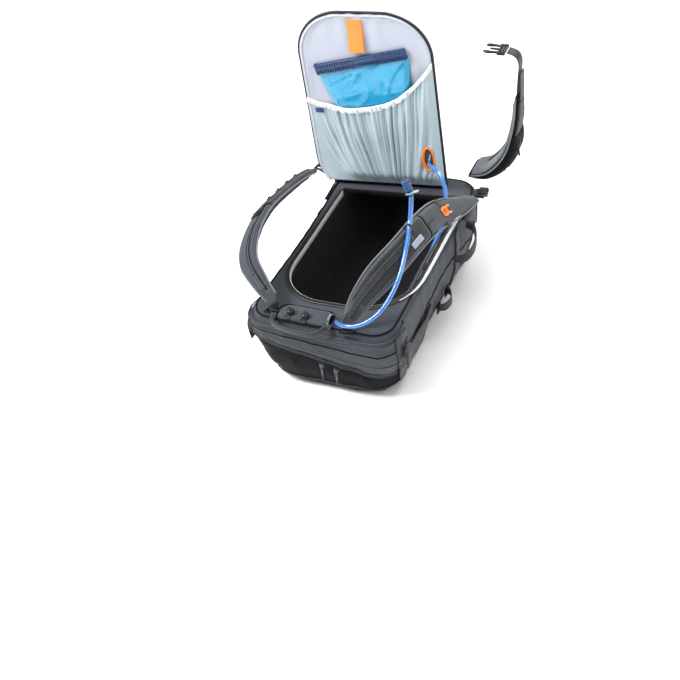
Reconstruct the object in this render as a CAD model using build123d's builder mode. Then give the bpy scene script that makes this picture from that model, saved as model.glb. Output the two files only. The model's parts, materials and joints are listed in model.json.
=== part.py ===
"""Ski backpack lying on its front, with its back panel unzipped and standing up.

Millimetres. +X runs across the pack, +Y from the pack's top end to its hip end, and +Z from
the front face, on the floor at Z = 0, up to the back. X = Y = 0 is the middle of the front face.
"""
from build123d import *
from math import cos, pi, radians, sin, tan
import os

os.makedirs("parts", exist_ok=True)

# ---------------------------------------------------------------- driving dimensions
PACK_LENGTH = 560            # fabric shell, without the top pocket's thickness
HALF_WIDTH = 165             # at the back
FLOOR_HALF_WIDTH = 135       # at the front face
WALL = 5
BACK_Z = 183                 # the back frame's face
FRAME_THICK = 7
FRONT_THICK = 5
POCKET_THICK = 3             # the tool pocket's flat front, which the pack lies on

HINGE = Vector(-48, 213, 187)  # middle of the back panel's fabric hinge
HINGE_SKEW = 7               # degrees that the hinge line turns from +X
PANEL_HALF_WIDTH = 150
PANEL_HEIGHT = 440
PANEL_CORNER = 105
PANEL_FOOT = 6               # gap between the hinge line and the panel's stiff edge

STRAP_THICK = 14
STRAP_WIDTH = 62
FIN_THICK = 14
WEB_THICK = 2.5
HOSE_DIAMETER = 9

END_Y = -PACK_LENGTH / 2     # the pack's top end
HIP_Y = PACK_LENGTH / 2 + 6  # the pack's hip end
SHELL_FLOOR = POCKET_THICK + FRONT_THICK
SHELL_TOP = BACK_Z - FRAME_THICK

# the shell's outline at four heights: height, half width, low Y, high Y, corner radius
LEVELS = [
    (SHELL_FLOOR, FLOOR_HALF_WIDTH, END_Y + 28, HIP_Y - 16, 60),
    (60, 152, END_Y + 12, HIP_Y - 6, 55),
    (120, 163, END_Y + 2, HIP_Y, 50),
    (SHELL_TOP, HALF_WIDTH, END_Y, HIP_Y, 45),
]

panel_x = Vector(cos(radians(HINGE_SKEW)), sin(radians(HINGE_SKEW)), 0)
panel_in = Vector(sin(radians(HINGE_SKEW)), -cos(radians(HINGE_SKEW)), 0)
panel_plane = Plane(origin=HINGE, x_dir=panel_x, z_dir=panel_in)


def on_panel(across, up, inward):
    """A point given across the standing back panel, up it, and inwards from its hinge plane."""
    return HINGE + panel_x * across + Vector(0, 0, up) + panel_in * inward


# ---------------------------------------------------------------- helpers
def save(piece, name):
    """Label a finished piece and write its STEP file."""
    piece.part.label = name
    export_step(piece.part, f"parts/{name}.step")


def skin(grow, thick):
    """The pack's side wall: a tapered rounded tube, grown outwards by grow."""
    with BuildPart() as wall:
        for offset_out, mode in ((grow, Mode.ADD), (grow - thick, Mode.SUBTRACT)):
            for z, half, low, high, corner in LEVELS:
                with BuildSketch(Plane.XY.offset(z)):
                    with Locations((0, (low + high) / 2)):
                        RectangleRounded(
                            2 * (half + offset_out), high - low + 2 * offset_out, corner + offset_out
                        )
            loft(ruled=True, mode=mode)
    return wall


def skin_piece(grow, thick, low, high, cuts=()):
    """The part of the side wall inside a box, kept on the positive side of each cutting plane."""
    with BuildPart() as piece:
        add(skin(grow, thick).part)
        with Locations((Vector(*low) + Vector(*high)) * 0.5):
            Box(*(Vector(*high) - Vector(*low)), mode=Mode.INTERSECT)
        for cut in cuts:
            split(bisect_by=cut, keep=Keep.TOP)
    return piece


def band(stations, thick):
    """A flat padded band through stations: a point, the direction of its width, and the width."""
    points = [Vector(*point) for point, _, _ in stations]
    last = len(points) - 1
    with BuildPart() as strip:
        for number, (point, across, width) in enumerate(stations):
            heading = points[min(number + 1, last)] - points[max(number - 1, 0)]
            with BuildSketch(Plane(origin=points[number], x_dir=Vector(*across), z_dir=heading)):
                Rectangle(width, thick)
        loft(ruled=True)
    return strip


def tilted(degrees, side=1):
    """A width direction from a strap's high inner edge to its low outer edge."""
    return (side * cos(radians(degrees)), 0, -sin(radians(degrees)))


def plate(plane, outline_size, corner, thick, centre=(0, 0)):
    """A rounded plate that starts on a plane."""
    with BuildPart() as piece:
        with BuildSketch(plane):
            with Locations(centre):
                RectangleRounded(*outline_size, corner)
        extrude(amount=thick)
    return piece


def block(plane, size, radius):
    """A small moulded block with rounded edges, centred on a plane's origin."""
    with BuildPart() as piece:
        with BuildSketch(plane):
            RectangleRounded(size[0], size[1], radius)
        extrude(amount=size[2] / 2, both=True)
    return piece


def level(x, y, z, turn=0):
    """A horizontal plane at a point, its X direction turned about +Z."""
    heading = (cos(radians(turn)), sin(radians(turn)), 0)
    return Plane(origin=(x, y, z), x_dir=heading, z_dir=(0, 0, 1))


def hose(route, name):
    """A hose of straight runs joined by arcs as large as the runs allow; prints the arc radii."""
    points = [Vector(*point) for point in route]
    radii = []
    for before, corner, after in zip(points, points[1:], points[2:]):
        turn = radians((corner - before).get_angle(after - corner))
        shorter = min((corner - before).length, (after - corner).length)
        radii.append(0.45 * shorter / tan(turn / 2))
    with BuildPart() as tube:
        with BuildLine() as path:
            FilletPolyline(*points, radius=radii)
        with BuildSketch(Plane(origin=points[0], z_dir=points[1] - points[0])):
            Circle(HOSE_DIAMETER / 2)
        sweep(path=path.wires()[0])
    length = path.wires()[0].length
    volume = pi * HOSE_DIAMETER**2 / 4 * length
    print(name, "length", round(length), "radii", [round(radius) for radius in radii])
    print(name, "volume", round(tube.part.volume), "section times length", round(volume))
    return tube


# ---------------------------------------------------------------- the pack's shell
FLOOR_LOW = END_Y + 28
FLOOR_HIGH = HIP_Y - 16
front_panel = plate(
    Plane.XY.offset(POCKET_THICK),
    (2 * FLOOR_HALF_WIDTH, FLOOR_HIGH - FLOOR_LOW),
    60,
    FRONT_THICK,
    (0, (FLOOR_HIGH + FLOOR_LOW) / 2),
)
save(front_panel, "front_panel")

front_tool_pocket = plate(Plane.XY, (232, 450), 45, POCKET_THICK)
save(front_tool_pocket, "front_tool_pocket")

SIDE_Y = 232                 # the side walls run between these distances from the middle
left_side_panel = skin_piece(0, WALL, (-200, -SIDE_Y, 0), (0, SIDE_Y, 200))
save(left_side_panel, "left_side_panel")
right_side_panel = skin_piece(0, WALL, (0, -SIDE_Y, 0), (200, SIDE_Y, 200))
save(right_side_panel, "right_side_panel")
top_end_panel = skin_piece(0, WALL, (-200, -300, 0), (200, -SIDE_Y, 200))
save(top_end_panel, "top_end_panel")
base_panel = skin_piece(0, WALL, (-200, SIDE_Y, 0), (200, 300, 200))
save(base_panel, "base_panel")

# the opening in the pack's back: nearly a U, with its straight end along the panel's hinge
LEFT_EDGE = -135
RIGHT_EDGE = 150
TIP_Y = -195
LEFT_BEND = 105
RIGHT_BEND = 110
with BuildSketch() as opening:
    with BuildLine():
        Line((LEFT_EDGE, 188), (LEFT_EDGE, TIP_Y + LEFT_BEND))
        RadiusArc((LEFT_EDGE, TIP_Y + LEFT_BEND), (LEFT_EDGE + LEFT_BEND, TIP_Y), -LEFT_BEND)
        Line((LEFT_EDGE + LEFT_BEND, TIP_Y), (RIGHT_EDGE - RIGHT_BEND, TIP_Y))
        RadiusArc((RIGHT_EDGE - RIGHT_BEND, TIP_Y), (RIGHT_EDGE, TIP_Y + RIGHT_BEND), -RIGHT_BEND)
        Line((RIGHT_EDGE, TIP_Y + RIGHT_BEND), (RIGHT_EDGE - 6, 214))
        Line((RIGHT_EDGE - 6, 214), (LEFT_EDGE, 188))
    make_face()
print("opening area", round(opening.sketch.area))

with BuildPart() as back_frame_panel:
    with BuildSketch(Plane.XY.offset(SHELL_TOP)):
        with Locations((0, (END_Y + HIP_Y) / 2)):
            RectangleRounded(2 * HALF_WIDTH, HIP_Y - END_Y, 45)
        add(opening.sketch, mode=Mode.SUBTRACT)
    extrude(amount=FRAME_THICK)
save(back_frame_panel, "back_frame_panel")

TAPE_WIDTH = 7
HINGE_SIDE = 178             # the zip and the lining stop at this Y
with BuildPart() as rim_zip_track:
    with BuildSketch(Plane.XY.offset(BACK_Z)):
        add(opening.sketch)
        offset(amount=TAPE_WIDTH, kind=Kind.ARC)
        add(opening.sketch, mode=Mode.SUBTRACT)
    extrude(amount=1.2)
    split(bisect_by=Plane(origin=(0, HINGE_SIDE, 0), z_dir=(0, -1, 0)), keep=Keep.TOP)
save(rim_zip_track, "rim_zip_track")

LINING_DEPTH = 34
with BuildPart() as rim_lining:
    with BuildSketch(Plane.XY.offset(BACK_Z - LINING_DEPTH)) as lining_ring:
        add(opening.sketch)
        offset(amount=-0.2, kind=Kind.ARC)
        with BuildSketch(mode=Mode.PRIVATE) as lining_hole:
            add(opening.sketch)
            offset(amount=-2.2, kind=Kind.ARC)
        add(lining_hole.sketch, mode=Mode.SUBTRACT)
    extrude(amount=LINING_DEPTH)
    split(bisect_by=Plane(origin=(0, HINGE_SIDE, 0), z_dir=(0, -1, 0)), keep=Keep.TOP)
save(rim_lining, "rim_lining")

GUARD_TILT = (cos(radians(22)), 0, sin(radians(22)))
zip_guard = band([((122, 168, 156), GUARD_TILT, 42), ((123, 5, 156), GUARD_TILT, 42)], WEB_THICK)
save(zip_guard, "zip_guard")

PIPING_RADIUS = 2.5
with BuildPart() as hinge_piping:
    with BuildSketch(Plane(origin=on_panel(-130, 0, 0), z_dir=panel_x)):
        Circle(PIPING_RADIUS)
    extrude(amount=265)
save(hinge_piping, "hinge_piping")

# ---------------------------------------------------------------- top end: cover, pocket, loops
ZIP_MIDDLE = Vector(0, END_Y, 98)
ZIP_HALF = 5                 # half the width of the pocket's zip
zip_heading = Vector(316, 0, -72).normalized()    # the zip runs down across the end
zip_up = Vector(-zip_heading.Z, 0, zip_heading.X)
END_BOX = ((-200, -320, 0), (200, -205, 200))
COVER_GROW = 7
POCKET_GROW = 10

top_end_cover = skin_piece(
    COVER_GROW, COVER_GROW - 0.5, *END_BOX, (Plane(origin=ZIP_MIDDLE + zip_up * ZIP_HALF, z_dir=zip_up),)
)
save(top_end_cover, "top_end_cover")
top_pocket_panel = skin_piece(
    POCKET_GROW, POCKET_GROW - 0.5, *END_BOX, (Plane(origin=ZIP_MIDDLE - zip_up * ZIP_HALF, z_dir=-zip_up),)
)
save(top_pocket_panel, "top_pocket_panel")
top_pocket_zip = skin_piece(
    6,
    5.5,
    *END_BOX,
    (
        Plane(origin=ZIP_MIDDLE + zip_up * ZIP_HALF, z_dir=-zip_up),
        Plane(origin=ZIP_MIDDLE - zip_up * ZIP_HALF, z_dir=zip_up),
    ),
)
save(top_pocket_zip, "top_pocket_zip")


def pocket_slider(x, name):
    """A zip slider on the end's zip, with its pull's grip hanging below it."""
    middle = ZIP_MIDDLE + zip_heading * (x / zip_heading.X) + Vector(0, -POCKET_GROW - 1.5, 0)
    with BuildPart() as slider:
        with BuildSketch(Plane(origin=middle, x_dir=zip_heading, z_dir=(0, -1, 0))):
            RectangleRounded(10, 8, 2)
        extrude(amount=4)
        with BuildSketch(Plane(origin=middle + Vector(0, -3, -20), x_dir=(1, 0, 0), z_dir=(0, -1, 0))):
            RectangleRounded(4.5, 36, 2)
        extrude(amount=3)
    save(slider, name)


pocket_slider(8, "pocket_slider_left")
pocket_slider(40, "pocket_slider_right")

LOCK_PLACES = ((-64, -254), (-28, -258))
with BuildPart() as helmet_holder:
    with BuildSketch(Plane.XY.offset(BACK_Z)):
        with Locations((-32, -256)):
            RectangleRounded(94, 26, 11)
        with Locations(*LOCK_PLACES):
            Circle(4.5, mode=Mode.SUBTRACT)
    extrude(amount=6)
save(helmet_holder, "helmet_holder")

with BuildPart() as cord_locks:
    with BuildSketch(Plane.XY.offset(BACK_Z)):
        with Locations(*LOCK_PLACES):
            Circle(4)
    extrude(amount=7)
    with BuildSketch(Plane.XY.offset(BACK_Z + 7)):
        with Locations(*LOCK_PLACES):
            Circle(8)
    extrude(amount=14)
save(cord_locks, "cord_locks")

tab_plane = Plane(origin=(24, -250, BACK_Z + 8), x_dir=(0, 1, 0), z_dir=(1, 0, 0))
tube_outlet_tab = block(tab_plane, (34, 16, 4), 4)
save(tube_outlet_tab, "tube_outlet_tab")

HAUL_LOW_Z = 186.5
HAUL_WIDTH = 11
HAUL_THICK = 5
with BuildPart() as haul_loop:
    with BuildSketch(Plane.XY.offset(HAUL_LOW_Z)):
        with BuildLine():
            Polyline((-98, -270), (-88, -292), (-62, -303), (-20, -308), (12, -302), (26, -277))
        trace(line_width=HAUL_THICK)
    extrude(amount=HAUL_WIDTH)
save(haul_loop, "haul_loop")

# ---------------------------------------------------------------- shoulder straps
right_shoulder_pad = band(
    [
        ((70, -256, 200), tilted(10), 26),
        ((94, -240, 245), tilted(30), 46),
        ((130, -208, 292), tilted(45), STRAP_WIDTH),
        ((157, -155, 316), tilted(52), STRAP_WIDTH),
        ((168, -80, 316), tilted(54), STRAP_WIDTH),
        ((168, 0, 292), tilted(54), STRAP_WIDTH),
        ((169, 70, 258), tilted(48), 58),
        ((173, 140, 223), tilted(32), 44),
        ((179, 196, 199), tilted(14), 26),
    ],
    STRAP_THICK,
)
save(right_shoulder_pad, "right_shoulder_pad")

left_shoulder_pad = band(
    [
        ((-106, -240, 202), tilted(8, -1), 26),
        ((-150, -212, 224), tilted(24, -1), 44),
        ((-190, -175, 246), tilted(34, -1), 58),
        ((-208, -117, 262), tilted(38, -1), STRAP_WIDTH),
        ((-216, -43, 266), tilted(38, -1), STRAP_WIDTH),
        ((-221, 40, 248), tilted(36, -1), 60),
        ((-225, 115, 228), tilted(28, -1), 50),
        ((-226, 170, 211), tilted(18, -1), 36),
        ((-218, 212, 198), tilted(10, -1), 24),
    ],
    STRAP_THICK,
)
save(left_shoulder_pad, "left_shoulder_pad")


def ladder_lock(plane, name):
    """A webbing adjuster: a frame with two slots."""
    with BuildPart() as lock:
        with BuildSketch(plane):
            RectangleRounded(30, 24, 3)
            with GridLocations(0, 10, 1, 2):
                Rectangle(22, 4.5, mode=Mode.SUBTRACT)
        extrude(amount=2, both=True)
    save(lock, name)


ladder_lock(level(184, 224, 194, 10), "right_ladder_lock")
ladder_lock(level(-212, 238, 193, -10), "left_ladder_lock")

ACROSS = (1, 0, 0)
right_strap_webbing = band(
    [((182, 214, 187), ACROSS, 20), ((180, 238, 185), ACROSS, 20), ((176, 262, 179), ACROSS, 20)],
    WEB_THICK,
)
save(right_strap_webbing, "right_strap_webbing")
left_strap_webbing = band(
    [((-208, 228, 186), ACROSS, 20), ((-196, 250, 182), ACROSS, 20), ((-178, 266, 177), ACROSS, 20)],
    WEB_THICK,
)
save(left_strap_webbing, "left_strap_webbing")


def wing(side, name):
    """The triangular patch that ties a shoulder strap to the pack's hip corner."""
    with BuildPart() as patch:
        face = Plane(origin=(side * (HALF_WIDTH + 0.4), 0, 0), x_dir=(0, side, 0), z_dir=(side, 0, 0))
        with BuildSketch(face):
            with BuildLine():
                Polyline((side * 150, 174), (side * 226, 174), (side * 222, 118), close=True)
            make_face()
        extrude(amount=4)
    save(patch, name)


wing(1, "right_wing")
wing(-1, "left_wing")

with BuildPart() as load_lifters:
    with BuildSketch(level(70, -270, BACK_Z, 8)):
        Rectangle(22, 20)
    extrude(amount=4)
    with BuildSketch(level(-108, -250, BACK_Z, -30)):
        Rectangle(22, 20)
    extrude(amount=4)
save(load_lifters, "load_lifters")

# the chest strap's parts, on the outer faces of the shoulder straps
right_out = Vector(sin(radians(52)), 0, cos(radians(52)))
CLIP_AT = Vector(168.4, 30, 277.5) + right_out * (STRAP_THICK / 2 + 7)
clip_plane = Plane(origin=CLIP_AT, x_dir=(0, 1, -0.44), z_dir=right_out)
with BuildPart() as sternum_clip:
    with BuildSketch(clip_plane):
        RectangleRounded(26, 22, 4)
        RectangleRounded(14, 10, 2, mode=Mode.SUBTRACT)
        with Locations((21, 5), (21, -5)):
            RectangleRounded(19, 5, 2)
    extrude(amount=2, both=True)
save(sternum_clip, "sternum_clip")

left_out = Vector(-sin(radians(38)), 0, cos(radians(38)))
ADJUSTER_AT = Vector(-215, -55, 265.4) + left_out * (STRAP_THICK / 2 + 5)
sternum_adjuster = block(Plane(origin=ADJUSTER_AT, x_dir=(0, 1, 0.02), z_dir=left_out), (30, 24, 6), 3)
save(sternum_adjuster, "sternum_adjuster")

KEEPER_TILT = radians(53)
keeper_middle = Vector(163.2, -113, 316)
with BuildPart() as tube_keeper:
    with BuildSketch(
        Plane(
            origin=keeper_middle,
            x_dir=(cos(KEEPER_TILT), 0, -sin(KEEPER_TILT)),
            z_dir=(0, 1, 0),
        )
    ):
        with Locations((-23, -STRAP_THICK / 2 - 9.4)):
            RectangleRounded(23, 18.6, 5)
            RectangleRounded(19.5, 15.2, 3.5, mode=Mode.SUBTRACT)
    extrude(amount=2, both=True)
save(tube_keeper, "tube_keeper")

# ---------------------------------------------------------------- drinking hose and bite valve
drink_hose_lower = hose(
    [
        on_panel(121, 84, 23),
        on_panel(126, 90, 42),
        (114, 166, 282),
        (132, 148, 264),
        (141, 128, 234),
        (144, 98, 204),
        (140, 56, 184),
        (138, 8, 172),
        (136, -40, 158),
        (133, -92, 142),
        (120, -142, 130),
        (90, -188, 128),
        (62, -220, 138),
        (40, -240, 152),
        (38, -246, 174.5),
    ],
    "drink_hose_lower",
)
save(drink_hose_lower, "drink_hose_lower")

VALVE_AT = Vector(157, -74, 397)
drink_hose_upper = hose(
    [
        (37, -251, 188),
        (45, -267, 201),
        (70, -282, 208),
        (106, -280, 215),
        (138, -260, 232),
        (160, -232, 262),
        (172, -196, 298),
        (170, -154, 329),
        (162, -113, 345),
        (159, -88, 370),
        VALVE_AT,
    ],
    "drink_hose_upper",
)
save(drink_hose_upper, "drink_hose_upper")

valve_axis = Vector(-0.38, 0.2, 0.9).normalized()
valve_plane = Plane(origin=VALVE_AT, x_dir=(0.9, 0, 0.38), z_dir=valve_axis)
NECK_START = 2.5
NECK_LENGTH = 10
with BuildPart() as bite_valve:
    with BuildSketch(valve_plane.offset(NECK_START)):
        Circle(6.5)
    extrude(amount=NECK_LENGTH)
    with BuildSketch(valve_plane.offset(NECK_START + NECK_LENGTH - 0.5)):
        Circle(8.5)
    extrude(amount=24)
save(bite_valve, "bite_valve")

with BuildPart() as valve_lever:
    with BuildSketch(valve_plane.offset(NECK_START + 2)):
        Circle(9)
        with Locations((13, 0)):
            RectangleRounded(14, 8, 3)
        Circle(6.8, mode=Mode.SUBTRACT)
    extrude(amount=5)
save(valve_lever, "valve_lever")

# ---------------------------------------------------------------- hip fins
ALONG = (0, 1, 0)
FIN_Y = 302
right_fin_pad = band(
    [
        ((134, FIN_Y, 199), ALONG, 72),
        ((185, FIN_Y, 219), ALONG, 80),
        ((228, FIN_Y, 272), ALONG, 76),
        ((250, FIN_Y, 345), ALONG, 60),
        ((256, FIN_Y, 412), ALONG, 38),
    ],
    FIN_THICK,
)
save(right_fin_pad, "right_fin_pad")
left_fin_pad = band(
    [
        ((-134, FIN_Y, 199), ALONG, 72),
        ((-162, FIN_Y, 236), ALONG, 80),
        ((-182, FIN_Y, 290), ALONG, 76),
        ((-188, FIN_Y, 350), ALONG, 60),
        ((-184, FIN_Y, 410), ALONG, 38),
    ],
    FIN_THICK,
)
save(left_fin_pad, "left_fin_pad")

right_hip_webbing = band(
    [
        ((257, FIN_Y, 413), ALONG, 25),
        ((262, FIN_Y, 455), ALONG, 25),
        ((266, FIN_Y, 490), ALONG, 25),
        ((259, FIN_Y, 508), ALONG, 25),
        ((243, FIN_Y, 515), ALONG, 25),
    ],
    WEB_THICK,
)
save(right_hip_webbing, "right_hip_webbing")
left_hip_webbing = band(
    [
        ((-183.5, FIN_Y, 411), ALONG, 25),
        ((-178, FIN_Y, 440), ALONG, 25),
        ((-164, FIN_Y, 463), ALONG, 25),
    ],
    WEB_THICK,
)
save(left_hip_webbing, "left_hip_webbing")

with BuildPart() as right_buckle:
    with BuildSketch(Plane.XZ.offset(-FIN_Y)):
        with Locations((229, 515)):
            RectangleRounded(16, 8, 2)
    extrude(amount=17, both=True)
    with BuildSketch(Plane.XY.offset(512)):
        with Locations((206, FIN_Y + 12), (206, FIN_Y - 12)):
            RectangleRounded(34, 6, 2.5)
        with Locations((212, FIN_Y)):
            RectangleRounded(22, 4, 1.5)
    extrude(amount=6)
save(right_buckle, "right_buckle")

left_buckle = block(
    Plane(origin=(-148, FIN_Y, 487), x_dir=(0, 1, 0), z_dir=(0.83, 0, -0.56)), (38, 46, 11), 5
)
save(left_buckle, "left_buckle")

FIN_SLIDER_AT = Vector(239, FIN_Y - 14, 308.5) + Vector(0.957, 0, -0.289) * (FIN_THICK / 2 + 2.6)
fin_zip_slider = block(
    Plane(origin=FIN_SLIDER_AT, x_dir=(0.289, 0, 0.957), z_dir=(0.957, 0, -0.289)), (26, 7, 4), 2
)
save(fin_zip_slider, "fin_zip_slider")

# ---------------------------------------------------------------- straps and pockets on the sides
side_mesh_pocket = skin_piece(8, 7.5, (0, -200, 0), (220, -50, 104))
save(side_mesh_pocket, "side_mesh_pocket")

STRAP_LOW_Y = -240
compression_grow = POCKET_GROW + 4
BASE_STRAP_LOW_Y = 96
SIDE_STRAP_WIDTH = 20
with BuildPart() as compression_straps:
    for low_y, grow in ((STRAP_LOW_Y, compression_grow), (BASE_STRAP_LOW_Y, 3.5)):
        for low_x in (0, -220):
            low = (low_x, low_y, 0)
            high = (low_x + 220, low_y + SIDE_STRAP_WIDTH, 200)
            add(skin_piece(grow, 3, low, high).part)
save(compression_straps, "compression_straps")

BUCKLE_FACE = 163 + compression_grow + 1.3
with BuildPart() as compression_buckles:
    for side in (1, -1):
        with BuildSketch(Plane(origin=(side * BUCKLE_FACE, STRAP_LOW_Y + 10, 120), x_dir=(0, side, 0),
                               z_dir=(side, 0, 0))):
            RectangleRounded(26, 38, 5)
        extrude(amount=7)
save(compression_buckles, "compression_buckles")

LOOP_WIDTH = (0, 0.3, 1)
carry_loop = band(
    [
        ((171, 152, 158), LOOP_WIDTH, 16),
        ((190, 146, 155), LOOP_WIDTH, 18),
        ((203, 122, 148), LOOP_WIDTH, 20),
        ((206, 94, 140), LOOP_WIDTH, 20),
        ((196, 70, 133), LOOP_WIDTH, 18),
        ((172, 62, 130), LOOP_WIDTH, 16),
    ],
    3,
)
save(carry_loop, "carry_loop")

UPRIGHT = (0, 0, 1)
with BuildPart() as ski_loops:
    for side in (1, -1):
        loop = band(
            [
                ((side * 157, 34, 66), UPRIGHT, 18),
                ((side * 170, 30, 62), UPRIGHT, 20),
                ((side * 178, 12, 57), UPRIGHT, 20),
                ((side * 172, -8, 54), UPRIGHT, 20),
                ((side * 156, -14, 52), UPRIGHT, 18),
            ],
            3,
        )
        add(loop.part)
save(ski_loops, "ski_loops")

# ---------------------------------------------------------------- back panel
def panel_outline(inset, foot):
    """The back panel's face, rounded at the top, as a sketch on its own plane at inward 0."""
    half = PANEL_HALF_WIDTH - inset
    top = PANEL_HEIGHT - inset
    bend = PANEL_CORNER - inset
    with BuildSketch() as outline:
        with BuildLine():
            Line((-half, foot), (-half, top - bend))
            RadiusArc((-half, top - bend), (-half + bend, top), bend)
            Line((-half + bend, top), (half - bend, top))
            RadiusArc((half - bend, top), (half, top - bend), bend)
            Line((half, top - bend), (half, foot))
            Line((half, foot), (-half, foot))
        make_face()
    return outline.sketch


def panel_layer(inset, foot, inner, outer, hole=None):
    """A layer of the back panel between two distances from its hinge plane, inwards positive."""
    with BuildPart() as layer:
        with BuildSketch(panel_plane.offset(outer)):
            add(panel_outline(inset, foot))
            if hole is not None:
                add(panel_outline(hole, foot - 10), mode=Mode.SUBTRACT)
        extrude(amount=inner - outer)
    return layer


EDGE = 5
flap_shell = panel_layer(EDGE, PANEL_FOOT, -4.5, -6)
save(flap_shell, "flap_shell")
flap_frame_sheet = panel_layer(EDGE + 4, PANEL_FOOT + 4, -3, -4.5)
save(flap_frame_sheet, "flap_frame_sheet")
flap_lining = panel_layer(EDGE, PANEL_FOOT, -1, -3)
save(flap_lining, "flap_lining")
flap_zip_binding = panel_layer(0, PANEL_FOOT, -1, -6.5, EDGE)
save(flap_zip_binding, "flap_zip_binding")

PAD_FACE = -6.1
PAD_THICK = 18
with BuildPart() as back_pads:
    with BuildSketch(panel_plane.offset(PAD_FACE)):
        for side in (1, -1):
            with Locations((side * 68, 268)):
                RectangleRounded(92, 236, 40)
    extrude(amount=-PAD_THICK)
    fillet(back_pads.faces().sort_by(Axis(HINGE, panel_in))[:1].edges(), 6)
save(back_pads, "back_pads")
with BuildPart() as lumbar_pad:
    with BuildSketch(panel_plane.offset(PAD_FACE)):
        with Locations((0, 95)):
            RectangleRounded(228, 86, 34)
    extrude(amount=-PAD_THICK)
    fillet(lumbar_pad.faces().sort_by(Axis(HINGE, panel_in))[:1].edges(), 6)
save(lumbar_pad, "lumbar_pad")

# the gathered pocket that holds the reservoir: a pouch with its mouth at the top
POUCH_LEFT = -84
POUCH_RIGHT = 140
POUCH_DEPTH = 20
POUCH_SKIN = 2
mouth_left = (POUCH_LEFT, 209)
mouth_right = (POUCH_RIGHT, 316)
with BuildPart() as sleeve_pocket:
    with BuildSketch(panel_plane.offset(-0.9)):
        with BuildLine():
            Polyline((POUCH_LEFT, 22), (POUCH_RIGHT, 22), mouth_right, (64, 238), (0, 214), mouth_left,
                     close=True)
        make_face()
    extrude(amount=POUCH_DEPTH + 0.9)
    with BuildSketch(panel_plane.offset(-0.9)):
        with BuildLine():
            Polyline((POUCH_LEFT + 3, 26), (POUCH_RIGHT - 3, 26), (POUCH_RIGHT - 3, 360),
                     (POUCH_LEFT + 3, 360), close=True)
        make_face()
    extrude(amount=POUCH_DEPTH + 0.9 - POUCH_SKIN, mode=Mode.SUBTRACT)
save(sleeve_pocket, "sleeve_pocket")

BAR_TILT = 12.8
bar_plane = Plane(
    origin=on_panel(-10, 324, 5),
    x_dir=panel_x * cos(radians(BAR_TILT)) + Vector(0, 0, sin(radians(BAR_TILT))),
    z_dir=panel_in,
)
with BuildPart() as reservoir:
    with BuildSketch(panel_plane.offset(0.4)):
        with BuildLine():
            Polyline((-76, 36), (92, 36), (95, 330), (-104, 285), (-77, 216), close=True)
        make_face()
    extrude(amount=7.6)
save(reservoir, "reservoir")

BAR_LENGTH = 212
BAR_HEIGHT = 24
with BuildPart() as closure_bar:
    with BuildSketch(bar_plane):
        RectangleRounded(BAR_LENGTH, BAR_HEIGHT, 3)
    extrude(amount=4.5, both=True)
save(closure_bar, "closure_bar")

HANGER_WIDTH = 34
HANGER_LENGTH = 72
with BuildPart() as hanger_strap:
    with BuildSketch(panel_plane.offset(-0.9)):
        with Locations((-13, 386)):
            RectangleRounded(HANGER_WIDTH, HANGER_LENGTH, 3)
    extrude(amount=2.5)
save(hanger_strap, "hanger_strap")

with BuildPart() as tube_port_trim:
    with BuildSketch(panel_plane.offset(POUCH_DEPTH + 0.1)):
        with Locations((120, 92)):
            Ellipse(15, 32)
            Ellipse(9.5, 26, mode=Mode.SUBTRACT)
    extrude(amount=2)
save(tube_port_trim, "tube_port_trim")
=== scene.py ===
import json
import math
import bpy
import bmesh
import numpy as np
from mathutils import Matrix, Vector, noise
from mathutils.bvhtree import BVHTree

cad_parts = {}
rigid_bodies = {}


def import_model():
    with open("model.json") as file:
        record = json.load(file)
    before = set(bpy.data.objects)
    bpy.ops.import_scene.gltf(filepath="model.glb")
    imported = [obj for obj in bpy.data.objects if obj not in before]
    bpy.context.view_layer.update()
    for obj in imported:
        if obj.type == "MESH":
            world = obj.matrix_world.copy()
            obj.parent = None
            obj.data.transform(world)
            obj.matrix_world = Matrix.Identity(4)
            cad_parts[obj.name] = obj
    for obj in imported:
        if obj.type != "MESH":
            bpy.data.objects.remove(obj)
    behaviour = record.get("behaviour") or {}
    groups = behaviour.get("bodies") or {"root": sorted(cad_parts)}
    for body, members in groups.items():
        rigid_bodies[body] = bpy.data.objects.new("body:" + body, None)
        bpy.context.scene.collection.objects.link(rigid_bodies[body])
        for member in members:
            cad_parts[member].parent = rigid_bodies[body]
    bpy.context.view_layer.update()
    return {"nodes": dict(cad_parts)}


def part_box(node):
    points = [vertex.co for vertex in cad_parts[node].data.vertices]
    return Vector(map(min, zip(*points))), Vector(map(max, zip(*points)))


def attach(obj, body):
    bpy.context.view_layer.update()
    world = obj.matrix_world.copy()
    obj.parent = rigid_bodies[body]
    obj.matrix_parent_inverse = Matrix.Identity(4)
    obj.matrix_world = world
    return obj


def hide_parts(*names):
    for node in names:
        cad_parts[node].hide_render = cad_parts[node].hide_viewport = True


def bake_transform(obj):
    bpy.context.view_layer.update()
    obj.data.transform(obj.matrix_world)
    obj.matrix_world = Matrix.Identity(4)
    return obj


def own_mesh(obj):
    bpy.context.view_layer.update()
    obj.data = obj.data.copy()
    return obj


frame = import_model()
scene = bpy.context.scene

# ------------------------------------------------------------------ frame sizes, in millimetres
MM = 0.001
BACK_Z = 183.0
SHELL_TOP = 176.0
HINGE = np.array([-48.0, 213.0, 187.0])
SKEW = math.radians(7)
PANEL_X = np.array([math.cos(SKEW), math.sin(SKEW), 0.0])
PANEL_IN = np.array([math.sin(SKEW), -math.cos(SKEW), 0.0])
UP = np.array([0.0, 0.0, 1.0])
LEVELS = [(0, 124, -246, 264, 66), (8, 135, -252, 270, 60), (60, 152, -268, 280, 55),
          (120, 163, -278, 286, 50),
          (SHELL_TOP, 165, -280, 286, 45)]      # height, half width, low Y, high Y, corner radius


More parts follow.
